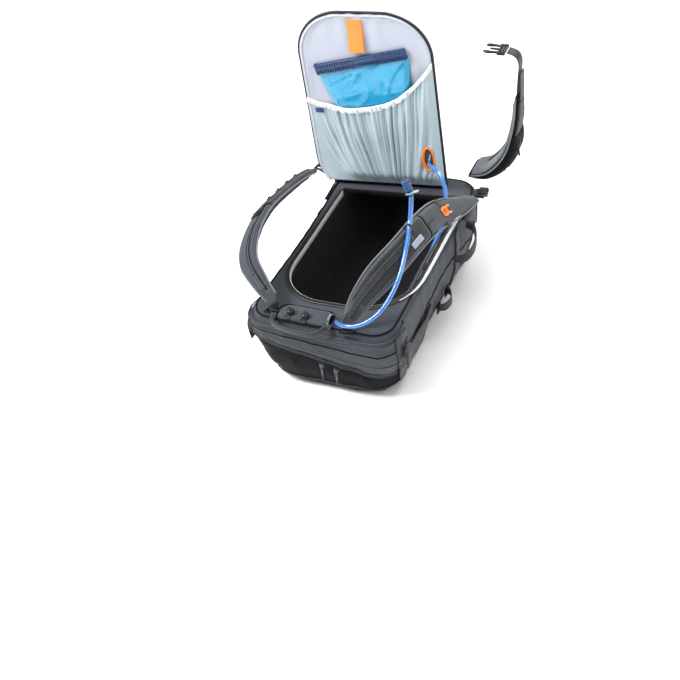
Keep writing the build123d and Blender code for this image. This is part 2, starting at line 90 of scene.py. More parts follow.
def on_panel(across, up, inward):
    """A point on the standing back panel: across it, up it, and inwards from its hinge plane."""
    if across < 0 and up < 70:
        across *= 1 - 0.15 * (1 - max(0, up) / 70) ** 2
    return HINGE + PANEL_X * across + UP * up + PANEL_IN * inward


def smooth(low, high, value):
    """0 below low, 1 above high, and a smooth step between."""
    t = np.clip((value - low) / (high - low), 0, 1)
    return t * t * (3 - 2 * t)


# ------------------------------------------------------------------ materials
def srgb(red, green, blue):
    """A linear colour from 0-255 display values."""
    return tuple(((c / 255 + 0.055) / 1.055) ** 2.4 if c > 10 else c / 255 / 12.92
                 for c in (red, green, blue)) + (1.0,)


def shader(name, colour, rough, **sockets):
    material = bpy.data.materials.new(name)
    material.use_nodes = True
    tree = material.node_tree
    bsdf = tree.nodes["Principled BSDF"]
    bsdf.inputs["Base Color"].default_value = colour
    bsdf.inputs["Roughness"].default_value = rough
    for socket, value in sockets.items():
        bsdf.inputs[socket.replace("_", " ")].default_value = value
    material.diffuse_color = colour
    return material, tree, bsdf


def texture(tree, kind, scale, source, **settings):
    node = tree.nodes.new(kind)
    node.inputs["Scale"].default_value = scale
    for name, value in settings.items():
        if name in node.inputs:
            node.inputs[name].default_value = value
        else:
            setattr(node, name, value)
    tree.links.new(source, node.inputs["Vector"])
    return node


def math_node(tree, operation, first, second):
    node = tree.nodes.new("ShaderNodeMath")
    node.operation = operation
    for slot, value in enumerate((first, second)):
        if isinstance(value, (int, float)):
            node.inputs[slot].default_value = value
        else:
            tree.links.new(value, node.inputs[slot])
    return node.outputs[0]


def shade_mix(tree, bsdf, colour, factor, dark, light):
    """Base colour between dark and light times the colour, by a factor."""
    ramp = tree.nodes.new("ShaderNodeMix")
    ramp.data_type = "RGBA"
    tree.links.new(factor, ramp.inputs["Factor"])
    ramp.inputs[6].default_value = tuple(min(1, c * dark) for c in colour[:3]) + (1,)
    ramp.inputs[7].default_value = tuple(min(1, c * light) for c in colour[:3]) + (1,)
    tree.links.new(ramp.outputs[2], bsdf.inputs["Base Color"])


def bump(tree, bsdf, height, strength, distance):
    node = tree.nodes.new("ShaderNodeBump")
    node.inputs["Strength"].default_value = strength
    node.inputs["Distance"].default_value = distance
    tree.links.new(height, node.inputs["Height"])
    tree.links.new(node.outputs["Normal"], bsdf.inputs["Normal"])


def fabric(name, colour, thread=1.1, strength=0.5, rough=0.82, sheen=0.25, melange=0.35, ripstop=0,
           shine=0.35):
    """Woven cloth: crossed threads in bump, speckled yarn colour, slow shade changes and worn roughness."""
    material, tree, bsdf = shader(name, colour, rough, Sheen_Weight=sheen, Sheen_Roughness=0.5,
                                  Specular_IOR_Level=shine)
    place = tree.nodes.new("ShaderNodeTexCoord").outputs["Object"]
    scale = 0.314 / (thread * MM)
    threads = []
    for direction in "XYZ":
        wave = texture(tree, "ShaderNodeTexWave", scale, place, bands_direction=direction,
                       wave_profile="SIN")
        threads.append(wave.outputs["Fac"])
    weave = math_node(tree, "ADD", math_node(tree, "MULTIPLY", threads[0], threads[1]), threads[2])
    yarn = texture(tree, "ShaderNodeTexNoise", 620, place, Detail=2.0).outputs["Fac"]
    slow = texture(tree, "ShaderNodeTexNoise", 14, place, Detail=4.0).outputs["Fac"]
    height = math_node(tree, "ADD", weave, math_node(tree, "MULTIPLY", yarn, 1.2))
    if ripstop:
        grid = texture(tree, "ShaderNodeTexWave", 0.314 / (ripstop * MM), place, bands_direction="DIAGONAL")
        sharp = math_node(tree, "POWER", grid.outputs["Fac"], 8.0)
        height = math_node(tree, "ADD", height, math_node(tree, "MULTIPLY", sharp, 1.5))
    speck = math_node(tree, "ADD", math_node(tree, "MULTIPLY", yarn, 0.6),
                      math_node(tree, "MULTIPLY", slow, 0.55))
    shade_mix(tree, bsdf, colour, speck, 1 - melange, 1 + melange)
    wear = tree.nodes.new("ShaderNodeMapRange")
    wear.inputs["To Min"].default_value = rough - 0.12
    wear.inputs["To Max"].default_value = min(1, rough + 0.1)
    tree.links.new(slow, wear.inputs["Value"])
    tree.links.new(wear.outputs["Result"], bsdf.inputs["Roughness"])
    bump(tree, bsdf, height, strength, 0.0005)
    return material


def mesh_knit(name, colour, hole=2.6):
    """Open knit: round dimples in a hexagon-like net, with painted shade darkening each dimple and the net
    between them painted lighter.
    """
    material, tree, bsdf = shader(name, colour, 0.75, Sheen_Weight=0.2, Specular_IOR_Level=0.4)
    place = tree.nodes.new("ShaderNodeTexCoord").outputs["Object"]
    cells = texture(tree, "ShaderNodeTexVoronoi", 1 / (hole * MM), place, Randomness=0.25)
    net = math_node(tree, "MULTIPLY", cells.outputs["Distance"], 1.3)
    # painted shade and highlight: the colour follows the dimple depth, dark in each dimple and light on the net
    shade_mix(tree, bsdf, colour, net, 0.25, 1.7)
    bump(tree, bsdf, net, 0.8, 0.0008)
    return material


def webbing_cloth(name, colour, rib=1.6):
    """Ribbed webbing: raised ribs with a fine herringbone between them; the colour follows the relief, as
    painted highlight on the ribs and painted shade in the grooves, over a fine yarn speckle.
    """
    material, tree, bsdf = shader(name, colour, 0.62, Sheen_Weight=0.15, Specular_IOR_Level=0.5)
    place = tree.nodes.new("ShaderNodeTexCoord").outputs["Object"]
    ribs = texture(tree, "ShaderNodeTexWave", 0.314 / (rib * MM), place, bands_direction="DIAGONAL",
                   Distortion=1.5)
    fine = texture(tree, "ShaderNodeTexNoise", 900, place).outputs["Fac"]
    height = math_node(tree, "ADD", ribs.outputs["Fac"], math_node(tree, "MULTIPLY", fine, 0.6))
    # painted highlight and shade: raised ribs lighter, grooves darker, with the fine noise as yarn speckle
    shade_mix(tree, bsdf, colour, height, 0.6, 1.5)
    bump(tree, bsdf, height, 0.6, 0.0006)
    return material


def moulded(name, colour, rough=0.42, grain=0.25, **sockets):
    """Moulded plastic with a fine spark-eroded grain and uneven gloss."""
    material, tree, bsdf = shader(name, colour, rough, **sockets)
    place = tree.nodes.new("ShaderNodeTexCoord").outputs["Object"]
    fine = texture(tree, "ShaderNodeTexNoise", 1400, place, Detail=2.0).outputs["Fac"]
    slow = texture(tree, "ShaderNodeTexNoise", 60, place, Detail=3.0).outputs["Fac"]
    shade_mix(tree, bsdf, colour, slow, 0.8, 1.2)
    gloss = tree.nodes.new("ShaderNodeMapRange")
    gloss.inputs["To Min"].default_value = max(0.03, rough - 0.08)
    gloss.inputs["To Max"].default_value = rough + 0.12
    tree.links.new(slow, gloss.inputs["Value"])
    tree.links.new(gloss.outputs["Result"], bsdf.inputs["Roughness"])
    bump(tree, bsdf, fine, grain, 0.0002)
    return material


GREY = fabric("shell_grey", srgb(54, 58, 66), melange=0.36, sheen=0.15)
GREY_STRAP = fabric("strap_grey", srgb(66, 69, 76), thread=1.4, melange=0.32, sheen=0.15)
GREY_SOFT = fabric("fin_grey", srgb(108, 111, 118), thread=1.2, melange=0.22)
INK = fabric("ink_ripstop", srgb(6, 9, 14), ripstop=5, sheen=0.0, rough=0.6, melange=0.2, shine=0.12)
BLACK = fabric("lining_black", srgb(18, 18, 20), rough=0.9, sheen=0.05)
LINING = fabric("panel_lining", srgb(170, 187, 196), thread=0.7, strength=0.18, rough=0.55, sheen=0.15,
                melange=0.08)
LAVENDER = fabric("upper_lining", srgb(182, 187, 200), thread=0.7, strength=0.18, rough=0.6, sheen=0.1,
                  melange=0.08)
CREAM = fabric("cream_binding", srgb(205, 200, 194), thread=0.9, strength=0.3, melange=0.12)
ELASTIC = webbing_cloth("white_elastic", srgb(222, 224, 232), rib=1.0)
MESH = mesh_knit("black_mesh", srgb(28, 30, 33))
AIR_MESH = mesh_knit("air_mesh", srgb(58, 61, 66), hole=3.4)
WEB = webbing_cloth("black_webbing", srgb(25, 27, 31))
ORANGE_CLOTH = webbing_cloth("orange_strap", srgb(240, 132, 54), rib=1.2)
PLASTIC = moulded("black_acetal", srgb(18, 19, 21), rough=0.3)
ORANGE = moulded("orange_plastic", srgb(255, 126, 20), rough=0.3, grain=0.1, Coat_Weight=0.3)
NAVY_BAR = moulded("navy_bar", srgb(10, 52, 98), rough=0.25, grain=0.1, Coat_Weight=0.2)
VALVE_BLUE = moulded("valve_blue", srgb(12, 66, 112), rough=0.28, grain=0.08, Coat_Weight=0.3)
CLEAR = moulded("clear_plastic", srgb(205, 222, 236), rough=0.12, grain=0.05, Transmission_Weight=0.55)
METAL = moulded("gunmetal_slider", srgb(88, 90, 94), rough=0.3, grain=0.1, Metallic=0.85)
THREAD = moulded("stitch_thread", srgb(120, 124, 130), rough=0.7, grain=0.3)
PALE_THREAD = moulded("pale_thread", srgb(226, 230, 234), rough=0.7, grain=0.3)
HOSE_BLUE = moulded("hose_blue", srgb(62, 134, 216), rough=0.08, grain=0.02, Transmission_Weight=0.3,
                    Coat_Weight=1.0)
FILM = moulded("reservoir_film", srgb(44, 166, 212), rough=0.13, grain=0.05, Transmission_Weight=0.15,
               Coat_Weight=0.5)
TAG_NAVY = fabric("tag_navy", srgb(34, 50, 110), thread=0.6, melange=0.15)
COIL = moulded("zip_coil", srgb(30, 32, 35), rough=0.35)
PULL_CORD = moulded("pull_cord", srgb(104, 108, 114), rough=0.6)


# ------------------------------------------------------------------ mesh helpers
def make(name, verts, faces, material, body, replaces=(), shade=True):
    """A mesh piece from points in millimetres, riding on a body."""
    mesh = bpy.data.meshes.new(name)
    mesh.from_pydata([tuple(map(float, v)) for v in np.asarray(verts, float) * MM], [], faces)
    mesh.materials.append(material)
    mesh.validate()
    piece = bpy.data.objects.new(name, mesh)
    scene.collection.objects.link(piece)
    clean = bmesh.new()
    clean.from_mesh(mesh)
    bmesh.ops.remove_doubles(clean, verts=clean.verts, dist=1e-6)
    bmesh.ops.recalc_face_normals(clean, faces=clean.faces)
    clean.to_mesh(mesh)
    clean.free()
    for polygon in mesh.polygons:
        polygon.use_smooth = shade
    if body:
        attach(piece, body)
    if replaces:
        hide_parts(*replaces)
    return piece


def grid_faces(rows, columns, close_rows=False, close_columns=False):
    faces = []
    for i in range(rows if close_rows else rows - 1):
        for j in range(columns if close_columns else columns - 1):
            i2 = (i + 1) % rows
            j2 = (j + 1) % columns
            faces.append((i * columns + j, i * columns + j2, i2 * columns + j2, i2 * columns + j))
    return faces


def apply(piece, kind, **settings):
    """Adds a modifier and applies it."""
    modifier = piece.modifiers.new(kind, kind)
    for name, value in settings.items():
        setattr(modifier, name, value)
    bpy.context.view_layer.objects.active = piece
    with bpy.context.temp_override(object=piece, active_object=piece):
        bpy.ops.object.modifier_apply(modifier=modifier.name)
    return piece


def thicken(piece, thick, offset=-1.0):
    """Gives a surface piece its cloth's thickness; offset 1 grows it outwards."""
    apply(piece, "SOLIDIFY", thickness=thick * MM, offset=offset)
    return piece


def spline_path(points, count):
    """Points evenly spread by length on a smooth curve through the given ones."""
    p = np.asarray(points, float)
    ends = np.vstack([2 * p[0] - p[1], p, 2 * p[-1] - p[-2]])
    out = []
    for i in range(1, len(ends) - 2):
        for t in np.linspace(0, 1, 24, endpoint=False):
            a, b, c, d = ends[i - 1:i + 3]
            out.append(0.5 * (2 * b + (c - a) * t + (2 * a - 5 * b + 4 * c - d) * t ** 2
                              + (3 * b - a - 3 * c + d) * t ** 3))
    out.append(p[-1])
    out = np.array(out)
    reach = np.concatenate([[0], np.cumsum(np.linalg.norm(np.diff(out[:, :3], axis=0), axis=1))])
    at = np.linspace(0, reach[-1], count)
    return np.column_stack([np.interp(at, reach, out[:, k]) for k in range(out.shape[1])])


def directions(path, closed=False):
    if closed:
        ahead = np.roll(path, -1, axis=0) - np.roll(path, 1, axis=0)
    else:
        ahead = np.gradient(path, axis=0)
    return ahead / np.linalg.norm(ahead, axis=1)[:, None]


def band(name, stations, section, material, body, rings=60, replaces=(), caps=True, wobble=0.0):
    """A soft band through stations (x, y, z, across x, y, z, width, thickness) with a section shape."""
    path = spline_path(stations, rings)
    heading = directions(path[:, :3])
    across = path[:, 3:6]
    across = across - heading * (across * heading).sum(1)[:, None]
    across /= np.linalg.norm(across, axis=1)[:, None]
    normal = np.cross(heading, across)
    verts = []
    for i in range(rings):
        for x, y in section:
            point = path[i, :3] + across[i] * x * path[i, 6] / 2 + normal[i] * y * path[i, 7] / 2
            if wobble:
                point = point + normal[i] * wobble * noise.noise(Vector(point * 0.045))
            verts.append(point)
    count = len(section)
    faces = grid_faces(rings, count, close_columns=True)
    if caps:
        faces.append(tuple(range(count)))
        faces.append(tuple((rings - 1) * count + k for k in reversed(range(count))))
    return make(name, verts, faces, material, body, replaces)


def oval(count=28, power=3.0):
    """A section between an ellipse and a rectangle."""
    turn = np.linspace(0, 2 * math.pi, count, endpoint=False)
    c, s = np.cos(turn), np.sin(turn)
    return list(zip(np.sign(c) * abs(c) ** (2 / power), np.sign(s) * abs(s) ** (2 / power)))


def tube(name, path, radius, material, body, sides=10, closed=False, replaces=(), smooth_count=0):
    """A round tube along points."""
    path = spline_path(path, smooth_count) if smooth_count else np.asarray(path, float)
    heading = directions(path, closed)
    side = np.cross(heading, UP)
    flat = np.linalg.norm(side, axis=1) < 0.2
    side[flat] = np.cross(heading[flat], np.array([1.0, 0, 0]))
    side /= np.linalg.norm(side, axis=1)[:, None]
    other = np.cross(heading, side)
    turn = np.linspace(0, 2 * math.pi, sides, endpoint=False)
    radius = np.broadcast_to(np.asarray(radius, float), (len(path),))
    verts = [path[i] + radius[i] * (math.cos(a) * side[i] + math.sin(a) * other[i])
             for i in range(len(path)) for a in turn]
    faces = grid_faces(len(path), sides, close_rows=closed, close_columns=True)
    if not closed:
        faces.append(tuple(range(sides)))
        faces.append(tuple((len(path) - 1) * sides + k for k in reversed(range(sides))))
    return make(name, verts, faces, material, body, replaces)


def stitches(name, lines, material, body, pitch=3.6, length=2.3, radius=0.42):
    """Rows of separate raised stitches along lines of points."""
    verts, faces = [], []
    turn = np.linspace(0, 2 * math.pi, 6, endpoint=False)
    for line in lines:
        line = np.asarray(line, float)
        reach = np.concatenate([[0], np.cumsum(np.linalg.norm(np.diff(line, axis=0), axis=1))])
        for start in np.arange(0, reach[-1] - length, pitch):
            ends = [np.array([np.interp(start + k * length, reach,
                                        line[:, c]) for c in range(3)]) for k in (0, 0.5, 1)]
            heading = ends[2] - ends[0]
            heading /= np.linalg.norm(heading) + 1e-9
            side = np.cross(heading, UP if abs(heading[2]) < 0.9 else np.array([1.0, 0, 0]))
            side /= np.linalg.norm(side)
            other = np.cross(heading, side)
            base = len(verts)
            for k, end in enumerate(ends):
                size = radius * (1.0 if k == 1 else 0.45)
                verts += [end + size * (math.cos(a) * side + math.sin(a) * other) for a in turn]
            faces += [tuple(base + v for v in face) for face in grid_faces(3, 6, close_columns=True)]
            faces.append(tuple(base + k for k in range(6)))
            faces.append(tuple(base + 12 + k for k in reversed(range(6))))
    return make(name, verts, faces, material, body)


def boxes(name, places, material, body, replaces=(), bevel=0.0):
    """Joined little bevelled blocks: each a centre, three half-size vectors."""
    verts, faces = [], []
    for centre, a, b, c in places:
        centre, a, b, c = (np.asarray(v, float) for v in (centre, a, b, c))
        base = len(verts)
        verts += [centre + i * a + j * b + k * c for i in (-1, 1) for j in (-1, 1) for k in (-1, 1)]
        faces += [tuple(base + v for v in f) for f in
                  ((0, 1, 3, 2), (4, 6, 7, 5), (0, 4, 5, 1), (2, 3, 7, 6), (0, 2, 6, 4), (1, 5, 7, 3))]
    piece = make(name, verts, faces, material, body, replaces, shade=False)
    if bevel:
        apply(piece, "BEVEL", width=bevel * MM, segments=2, limit_method="NONE")
        for polygon in piece.data.polygons:
            polygon.use_smooth = True
    return piece


def inflate(piece, voxel=5.0, pressure=4.0, frames=18, cap=5.0):
    """Swells a padded piece with a cloth simulation, with a limit on how far a point may move."""
    before = piece.parent
    apply(piece, "REMESH", mode="VOXEL", voxel_size=voxel * MM)
    rest = np.empty(len(piece.data.vertices) * 3)
    piece.data.vertices.foreach_get("co", rest)
    cloth = piece.modifiers.new("cloth", "CLOTH")
    cloth.settings.use_pressure = True
    cloth.settings.uniform_pressure_force = pressure
    cloth.settings.effector_weights.gravity = 0
    cloth.settings.quality = 5
    cloth.settings.tension_stiffness = 20
    cloth.point_cache.frame_start = 1
    cloth.point_cache.frame_end = frames
    for step in range(1, frames + 1):
        scene.frame_set(step)
    ready = piece.evaluated_get(bpy.context.evaluated_depsgraph_get())
    moved = np.empty(len(rest))
    ready.data.vertices.foreach_get("co", moved)
    shift = (moved - rest).reshape(-1, 3)
    far = np.linalg.norm(shift, axis=1)
    shift *= np.minimum(1, cap * MM / np.maximum(far, 1e-9))[:, None]
    piece.modifiers.remove(cloth)
    piece.data.vertices.foreach_set("co", (rest.reshape(-1, 3) + shift).ravel())
    scene.frame_set(1)
    apply(piece, "SUBSURF", levels=1, render_levels=1)
    for polygon in piece.data.polygons:
        polygon.use_smooth = True
    assert piece.parent == before
    return piece


# ------------------------------------------------------------------ camera, floor and light
AIM = Vector((0.075, -0.313, 0.20))
AZIMUTH = math.radians(30.5)
ELEVATION = math.radians(41.0)
ROLL = math.radians(-10.5)
DISTANCE = 2.965
LENS = 78.6


def place_camera():
    back = Vector((math.sin(AZIMUTH) * math.cos(ELEVATION), -math.cos(AZIMUTH) * math.cos(ELEVATION),
                   math.sin(ELEVATION)))
    right = Vector((math.cos(AZIMUTH), math.sin(AZIMUTH), 0))
    upward = back.cross(right)
    right, upward = (math.cos(ROLL) * right + math.sin(ROLL) * upward,
                     math.cos(ROLL) * upward - math.sin(ROLL) * right)
    data = bpy.data.cameras.new("camera")
    data.lens = LENS
    data.sensor_width = 36
    camera = bpy.data.objects.new("camera", data)
    scene.collection.objects.link(camera)
    place = AIM + back * DISTANCE
    camera.matrix_world = Matrix(((right.x, upward.x, back.x, place.x), (right.y, upward.y, back.y, place.y),
                                  (right.z, upward.z, back.z, place.z), (0, 0, 0, 1)))
    scene.camera = camera


def place_light(name, location, target, size, power):
    data = bpy.data.lights.new(name, "AREA")
    data.size = size
    data.energy = power
    lamp = bpy.data.objects.new(name, data)
    scene.collection.objects.link(lamp)
    lamp.location = location
    lamp.rotation_euler = (Vector(target) - Vector(location)).to_track_quat("-Z", "Y").to_euler()


def place_floor():
    material = shader("studio_floor", (0.93, 0.93, 0.93, 1), 0.85)[0]
    mesh = bpy.data.meshes.new("floor")
    reach = 9.0
    mesh.from_pydata([(-reach, -reach, -0.0006), (reach, -reach, -0.0006), (reach, reach, -0.0006),
                      (-reach, reach, -0.0006)], [], [(0, 1, 2, 3)])
    mesh.materials.append(material)
    floor = bpy.data.objects.new("floor", mesh)
    scene.collection.objects.link(floor)


place_camera()
place_floor()
place_light("key", (-2.0, -1.3, 2.7), (0, -0.05, 0.2), 1.3, 150)
place_light("fill", (2.9, -0.9, 1.7), (0, 0, 0.2), 1.8, 42)
place_light("rim", (0.5, 2.3, 2.5), (0, 0, 0.2), 1.5, 75)
place_light("floor_wash", (0.2, -0.4, 4.6), (0, 0, 0), 4.5, 110)
world = bpy.data.worlds.new("studio")
world.use_nodes = True
world.node_tree.nodes["Background"].inputs["Color"].default_value = (1, 1, 1, 1)
world.node_tree.nodes["Background"].inputs["Strength"].default_value = 0.32
scene.world = world
scene.view_settings.view_transform = "Standard"


# ------------------------------------------------------------------ drinking hose
def hose_line(route):
    """The points, in millimetres, of one smooth NURBS line through the route's control points."""
    data = bpy.data.curves.new("hose_line", "CURVE")
    data.dimensions = "3D"
    data.resolution_u = 10
    line = data.splines.new("NURBS")
    line.points.add(len(route) - 1)
    for knot, point in zip(line.points, route):
        knot.co = (point[0] * MM, point[1] * MM, point[2] * MM, 1)
    line.order_u = 3
    line.use_endpoint_u = True
    shadow = bpy.data.objects.new("hose_line", data)
    scene.collection.objects.link(shadow)
    bpy.context.view_layer.update()
    mesh = bpy.data.meshes.new_from_object(shadow.evaluated_get(bpy.context.evaluated_depsgraph_get()))
    points = np.array([v.co[:] for v in mesh.vertices]) / MM
    bpy.data.objects.remove(shadow)
    return points


HOSE_RADIUS = 4.5
LOWER_ROUTE = [
    on_panel(121, 84, 23), on_panel(126, 90, 42), (114, 166, 282), (132, 148, 264), (141, 128, 234),
    (144, 98, 204), (140, 56, 184), (138, 8, 172), (136, -40, 158), (133, -92, 142), (120, -142, 130),
    (90, -188, 128), (62, -220, 138), (40, -240, 152), (38, -246, 174.5),
]
UPPER_ROUTE = [
    (37, -251, 188), (45, -267, 201), (70, -282, 208), (106, -280, 215), (138, -260, 232), (160, -232, 262),
    (172, -196, 298), (170, -154, 329), (162, -113, 345), (159, -88, 370), (157, -74, 397),
]


def hose(name, node, route):
    """A length of hose along a smooth line through its route, baked in place on no body."""
    line = hose_line(route)
    piece = tube(name, line, HOSE_RADIUS, HOSE_BLUE, None, sides=20, replaces=[node])
    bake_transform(piece)


def drinking_hose():
    hose("hose_lower", "drink_hose_lower", LOWER_ROUTE)
    hose("hose_upper", "drink_hose_upper", UPPER_ROUTE)


# ------------------------------------------------------------------ the pack's outlines
def rounded(half, low, high, corner, steps=16):
    """A rounded rectangle's points, anticlockwise."""
    points = []
    for cx, cy, start in ((half - corner, high - corner, 0), (corner - half, high - corner, 90),
                          (corner - half, low + corner, 180), (half - corner, low + corner, 270)):
        for turn in np.radians(np.linspace(start, start + 90, steps)):
            points.append((cx + corner * math.cos(turn), cy + corner * math.sin(turn)))
    return np.array(points)


def opening_points():
    left = [(-30 + 105 * math.cos(a), -90 + 105 * math.sin(a)) for a in np.radians(np.linspace(180, 270,
            24))]
    right = [(40 + 110 * math.cos(a), -85 + 110 * math.sin(a)) for a in np.radians(np.linspace(270, 360,
            24))]
    edge = [(144 - 9 * t, 214 + 0 * t) for t in (0,)] + [(-135, 188)]
    return np.array(left + right + edge)


def radius_at(points, turn):
    """Distance from the middle to an outline in the given directions."""
    dense = []
    closed = np.vstack([points, points[:1]])
    for a, b in zip(closed[:-1], closed[1:]):
        for t in np.linspace(0, 1, 12, endpoint=False):
            dense.append(a + (b - a) * t)
    dense = np.array(dense)
    angle = np.arctan2(dense[:, 1], dense[:, 0])
    order = np.argsort(angle)
    return np.interp(turn, angle[order], np.hypot(dense[order, 0], dense[order, 1]), period=2 * math.pi)


AROUND = 320
seed_outline = rounded(165, -280, 286, 45, 20)
closed_outline = np.vstack([seed_outline, seed_outline[:1]])
seed_reach = np.concatenate([[0], np.cumsum(np.linalg.norm(np.diff(closed_outline, axis=0), axis=1))])
at = np.linspace(0, seed_reach[-1], AROUND, endpoint=False)
TURN = np.arctan2(np.interp(at, seed_reach, closed_outline[:, 1]),
                  np.interp(at, seed_reach, closed_outline[:, 0]))
LEVEL_Z = np.array([level[0] for level in LEVELS], float)
LEVEL_R = np.array([radius_at(rounded(*level[1:]), TURN) for level in LEVELS])
RIM_R = radius_at(opening_points(), TURN)
SHOULDER = 24.0                    # how far the side rolls over before it becomes the back frame


def wall_radius(z):
    return np.array([np.interp(z, LEVEL_Z, LEVEL_R[:, k]) for k in range(AROUND)])


def folds(point, size):
    """Soft hollows and a few sharper creases, as a height in millimetres."""
    p = Vector(point)
    soft = noise.noise(p * 0.011) * 0.9 + noise.noise(p * 0.027 + Vector((7, 3, 1))) * 0.45
    crease = 1 - abs(noise.noise(Vector((p.x * 0.012 + p.z * 0.010, p.y * 0.007, p.z * 0.02 - p.x * 0.006))))
    return size * (soft + 0.9 * (crease ** 6 - 0.45))


def shell_profile():
    """Rows of the pack's skin from under its front edge, up the side, over the shoulder, to the rim."""
    rows = []
    for z in (0.4, 1.5, 5, 10, 18, 28, 40, 52, 64, 76, 88, 100, 112, 124, 135, 145, 152):
        radius = wall_radius(z)
        tuck = 10 * (1 - smooth(0, 10, z)) if z < 10 else 0
        rows.append(np.column_stack([(radius - tuck) * np.cos(TURN), (radius - tuck) * np.sin(TURN),
                                     np.full(AROUND, float(z))]))
    top = wall_radius(158)
    for turn in np.radians((15, 30, 45, 60, 75, 90)):
        inward = SHOULDER * (1 - math.cos(turn)) * 0.9
        z = 155 + 27.5 * math.sin(turn)
        rows.append(np.column_stack([(top - inward) * np.cos(TURN), (top - inward) * np.sin(TURN),
                                     np.full(AROUND, z)]))
    start = top - SHOULDER * 0.9
    for t in (0.12, 0.25, 0.4, 0.55, 0.7, 0.82, 0.92, 1.0):
        radius = start + (np.minimum(RIM_R + 1.0, start - 2) - start) * t
        z = 182.5 - 1.0 * math.sin(math.pi * t) - (1.5 if t == 1.0 else 0)
        rows.append(np.column_stack([radius * np.cos(TURN), radius * np.sin(TURN), np.full(AROUND, z)]))
    return np.array(rows)


SKIN = shell_profile()
ROWS = len(SKIN)
ROLL_ROW = 19                      # where the side ends and the back frame starts


def outward(rows):
    """Unit normals of the skin rows, pointing out of the pack."""
    along = np.roll(rows, -1, axis=1) - np.roll(rows, 1, axis=1)
    up = np.gradient(rows, axis=0)
    normal = np.cross(along, up)
    return normal / np.linalg.norm(normal, axis=2)[:, :, None]


NORMALS = outward(SKIN)
for i in range(ROWS):
    calm = smooth(0, 14, SKIN[i, 0, 2]) * (1 - 0.75 * smooth(150, 176, SKIN[i, 0, 2]))
    for j in range(AROUND):
        SKIN[i, j] += NORMALS[i, j] * min(1.2, folds(SKIN[i, j], 3.0) - 1.8) * calm
NORMALS = outward(SKIN)


def skin_point(turn, row, grow=0.0):
    """A point on the skin at a fractional column and row, lifted by grow."""
    j0 = int(math.floor(turn)) % AROUND
    j1 = (j0 + 1) % AROUND
    i0 = min(int(row), ROWS - 2)
    s, t = turn - math.floor(turn), row - i0
    def mix(field):
        return ((field[i0, j0] * (1 - s) + field[i0, j1] * s) * (1 - t)
                + (field[i0 + 1, j0] * (1 - s) + field[i0 + 1, j1] * s) * t)
    return mix(SKIN) + mix(NORMALS) * grow


def column_at(x, y):
    """The skin column whose direction from the middle is nearest to a place."""
    want = math.atan2(y, x)
    gap = np.abs((TURN - want + math.pi) % (2 * math.pi) - math.pi)
    return int(np.argmin(gap))


def row_at(z):
    """The side's fractional row at a height."""
    heights = SKIN[:ROLL_ROW, 0, 2]
    return float(np.interp(z, heights, np.arange(ROLL_ROW)))


def skin_patch(name, columns, rows, grow, material, replaces=(), thick=3.0):
    """A piece of cloth that follows the skin over columns and fractional rows."""
    columns, rows = list(columns), list(rows)
    verts = [skin_point(column, row, grow) for row in rows for column in columns]
    piece = make(name, verts, grid_faces(len(rows), len(columns)), material, "root", replaces)
    return thicken(piece, thick, offset=-1.0)


def seam(name, line, radius, material, body="root"):
    return tube(name, line, radius, material, body, sides=8)


LEFT_LOW = column_at(-165, -222)
LEFT_HIGH = column_at(-165, 236)
RIGHT_LOW = column_at(165, -222)
RIGHT_HIGH = column_at(165, 236)


def spread(first, last):
    """Columns from first to last, anticlockwise."""
    count = (last - first) % AROUND
    return [first + k for k in range(count + 1)]


def pack_shell():
    """The side walls, the base, the top end and the padded frame round the opening."""
    side_rows = list(range(ROLL_ROW + 1))
    skin_patch("side_right", spread(RIGHT_LOW, RIGHT_HIGH), side_rows, 0, GREY,
               ["right_side_panel", "right_wing"])
    skin_patch("base_wall", spread(RIGHT_HIGH, LEFT_HIGH), side_rows, 0, GREY,
               ["base_panel"])
    skin_patch("side_left", spread(LEFT_HIGH, LEFT_LOW), side_rows, 0, GREY,
               ["left_side_panel", "left_wing"])
    skin_patch("top_end_wall", spread(LEFT_LOW, RIGHT_LOW), side_rows, 0, GREY,
               ["top_end_panel"])
    verts = SKIN[ROLL_ROW:].reshape(-1, 3)
    ring = make("back_frame", verts, grid_faces(ROWS - ROLL_ROW, AROUND, close_columns=True), GREY, "root",
                ["back_frame_panel"])
    thicken(ring, 4.0)
    outline = rounded(124, -246, 264, 66, 24)
    bottom = [(0, 9, 1.0)] + [(x, y, 1.0) for x, y in outline]
    faces = [(0, k + 1, (k + 1) % len(outline) + 1) for k in range(len(outline))]
    front = make("front_cloth", bottom, faces, INK, "root",
                 ["front_panel", "front_tool_pocket"])
    thicken(front, 1.2, offset=0)


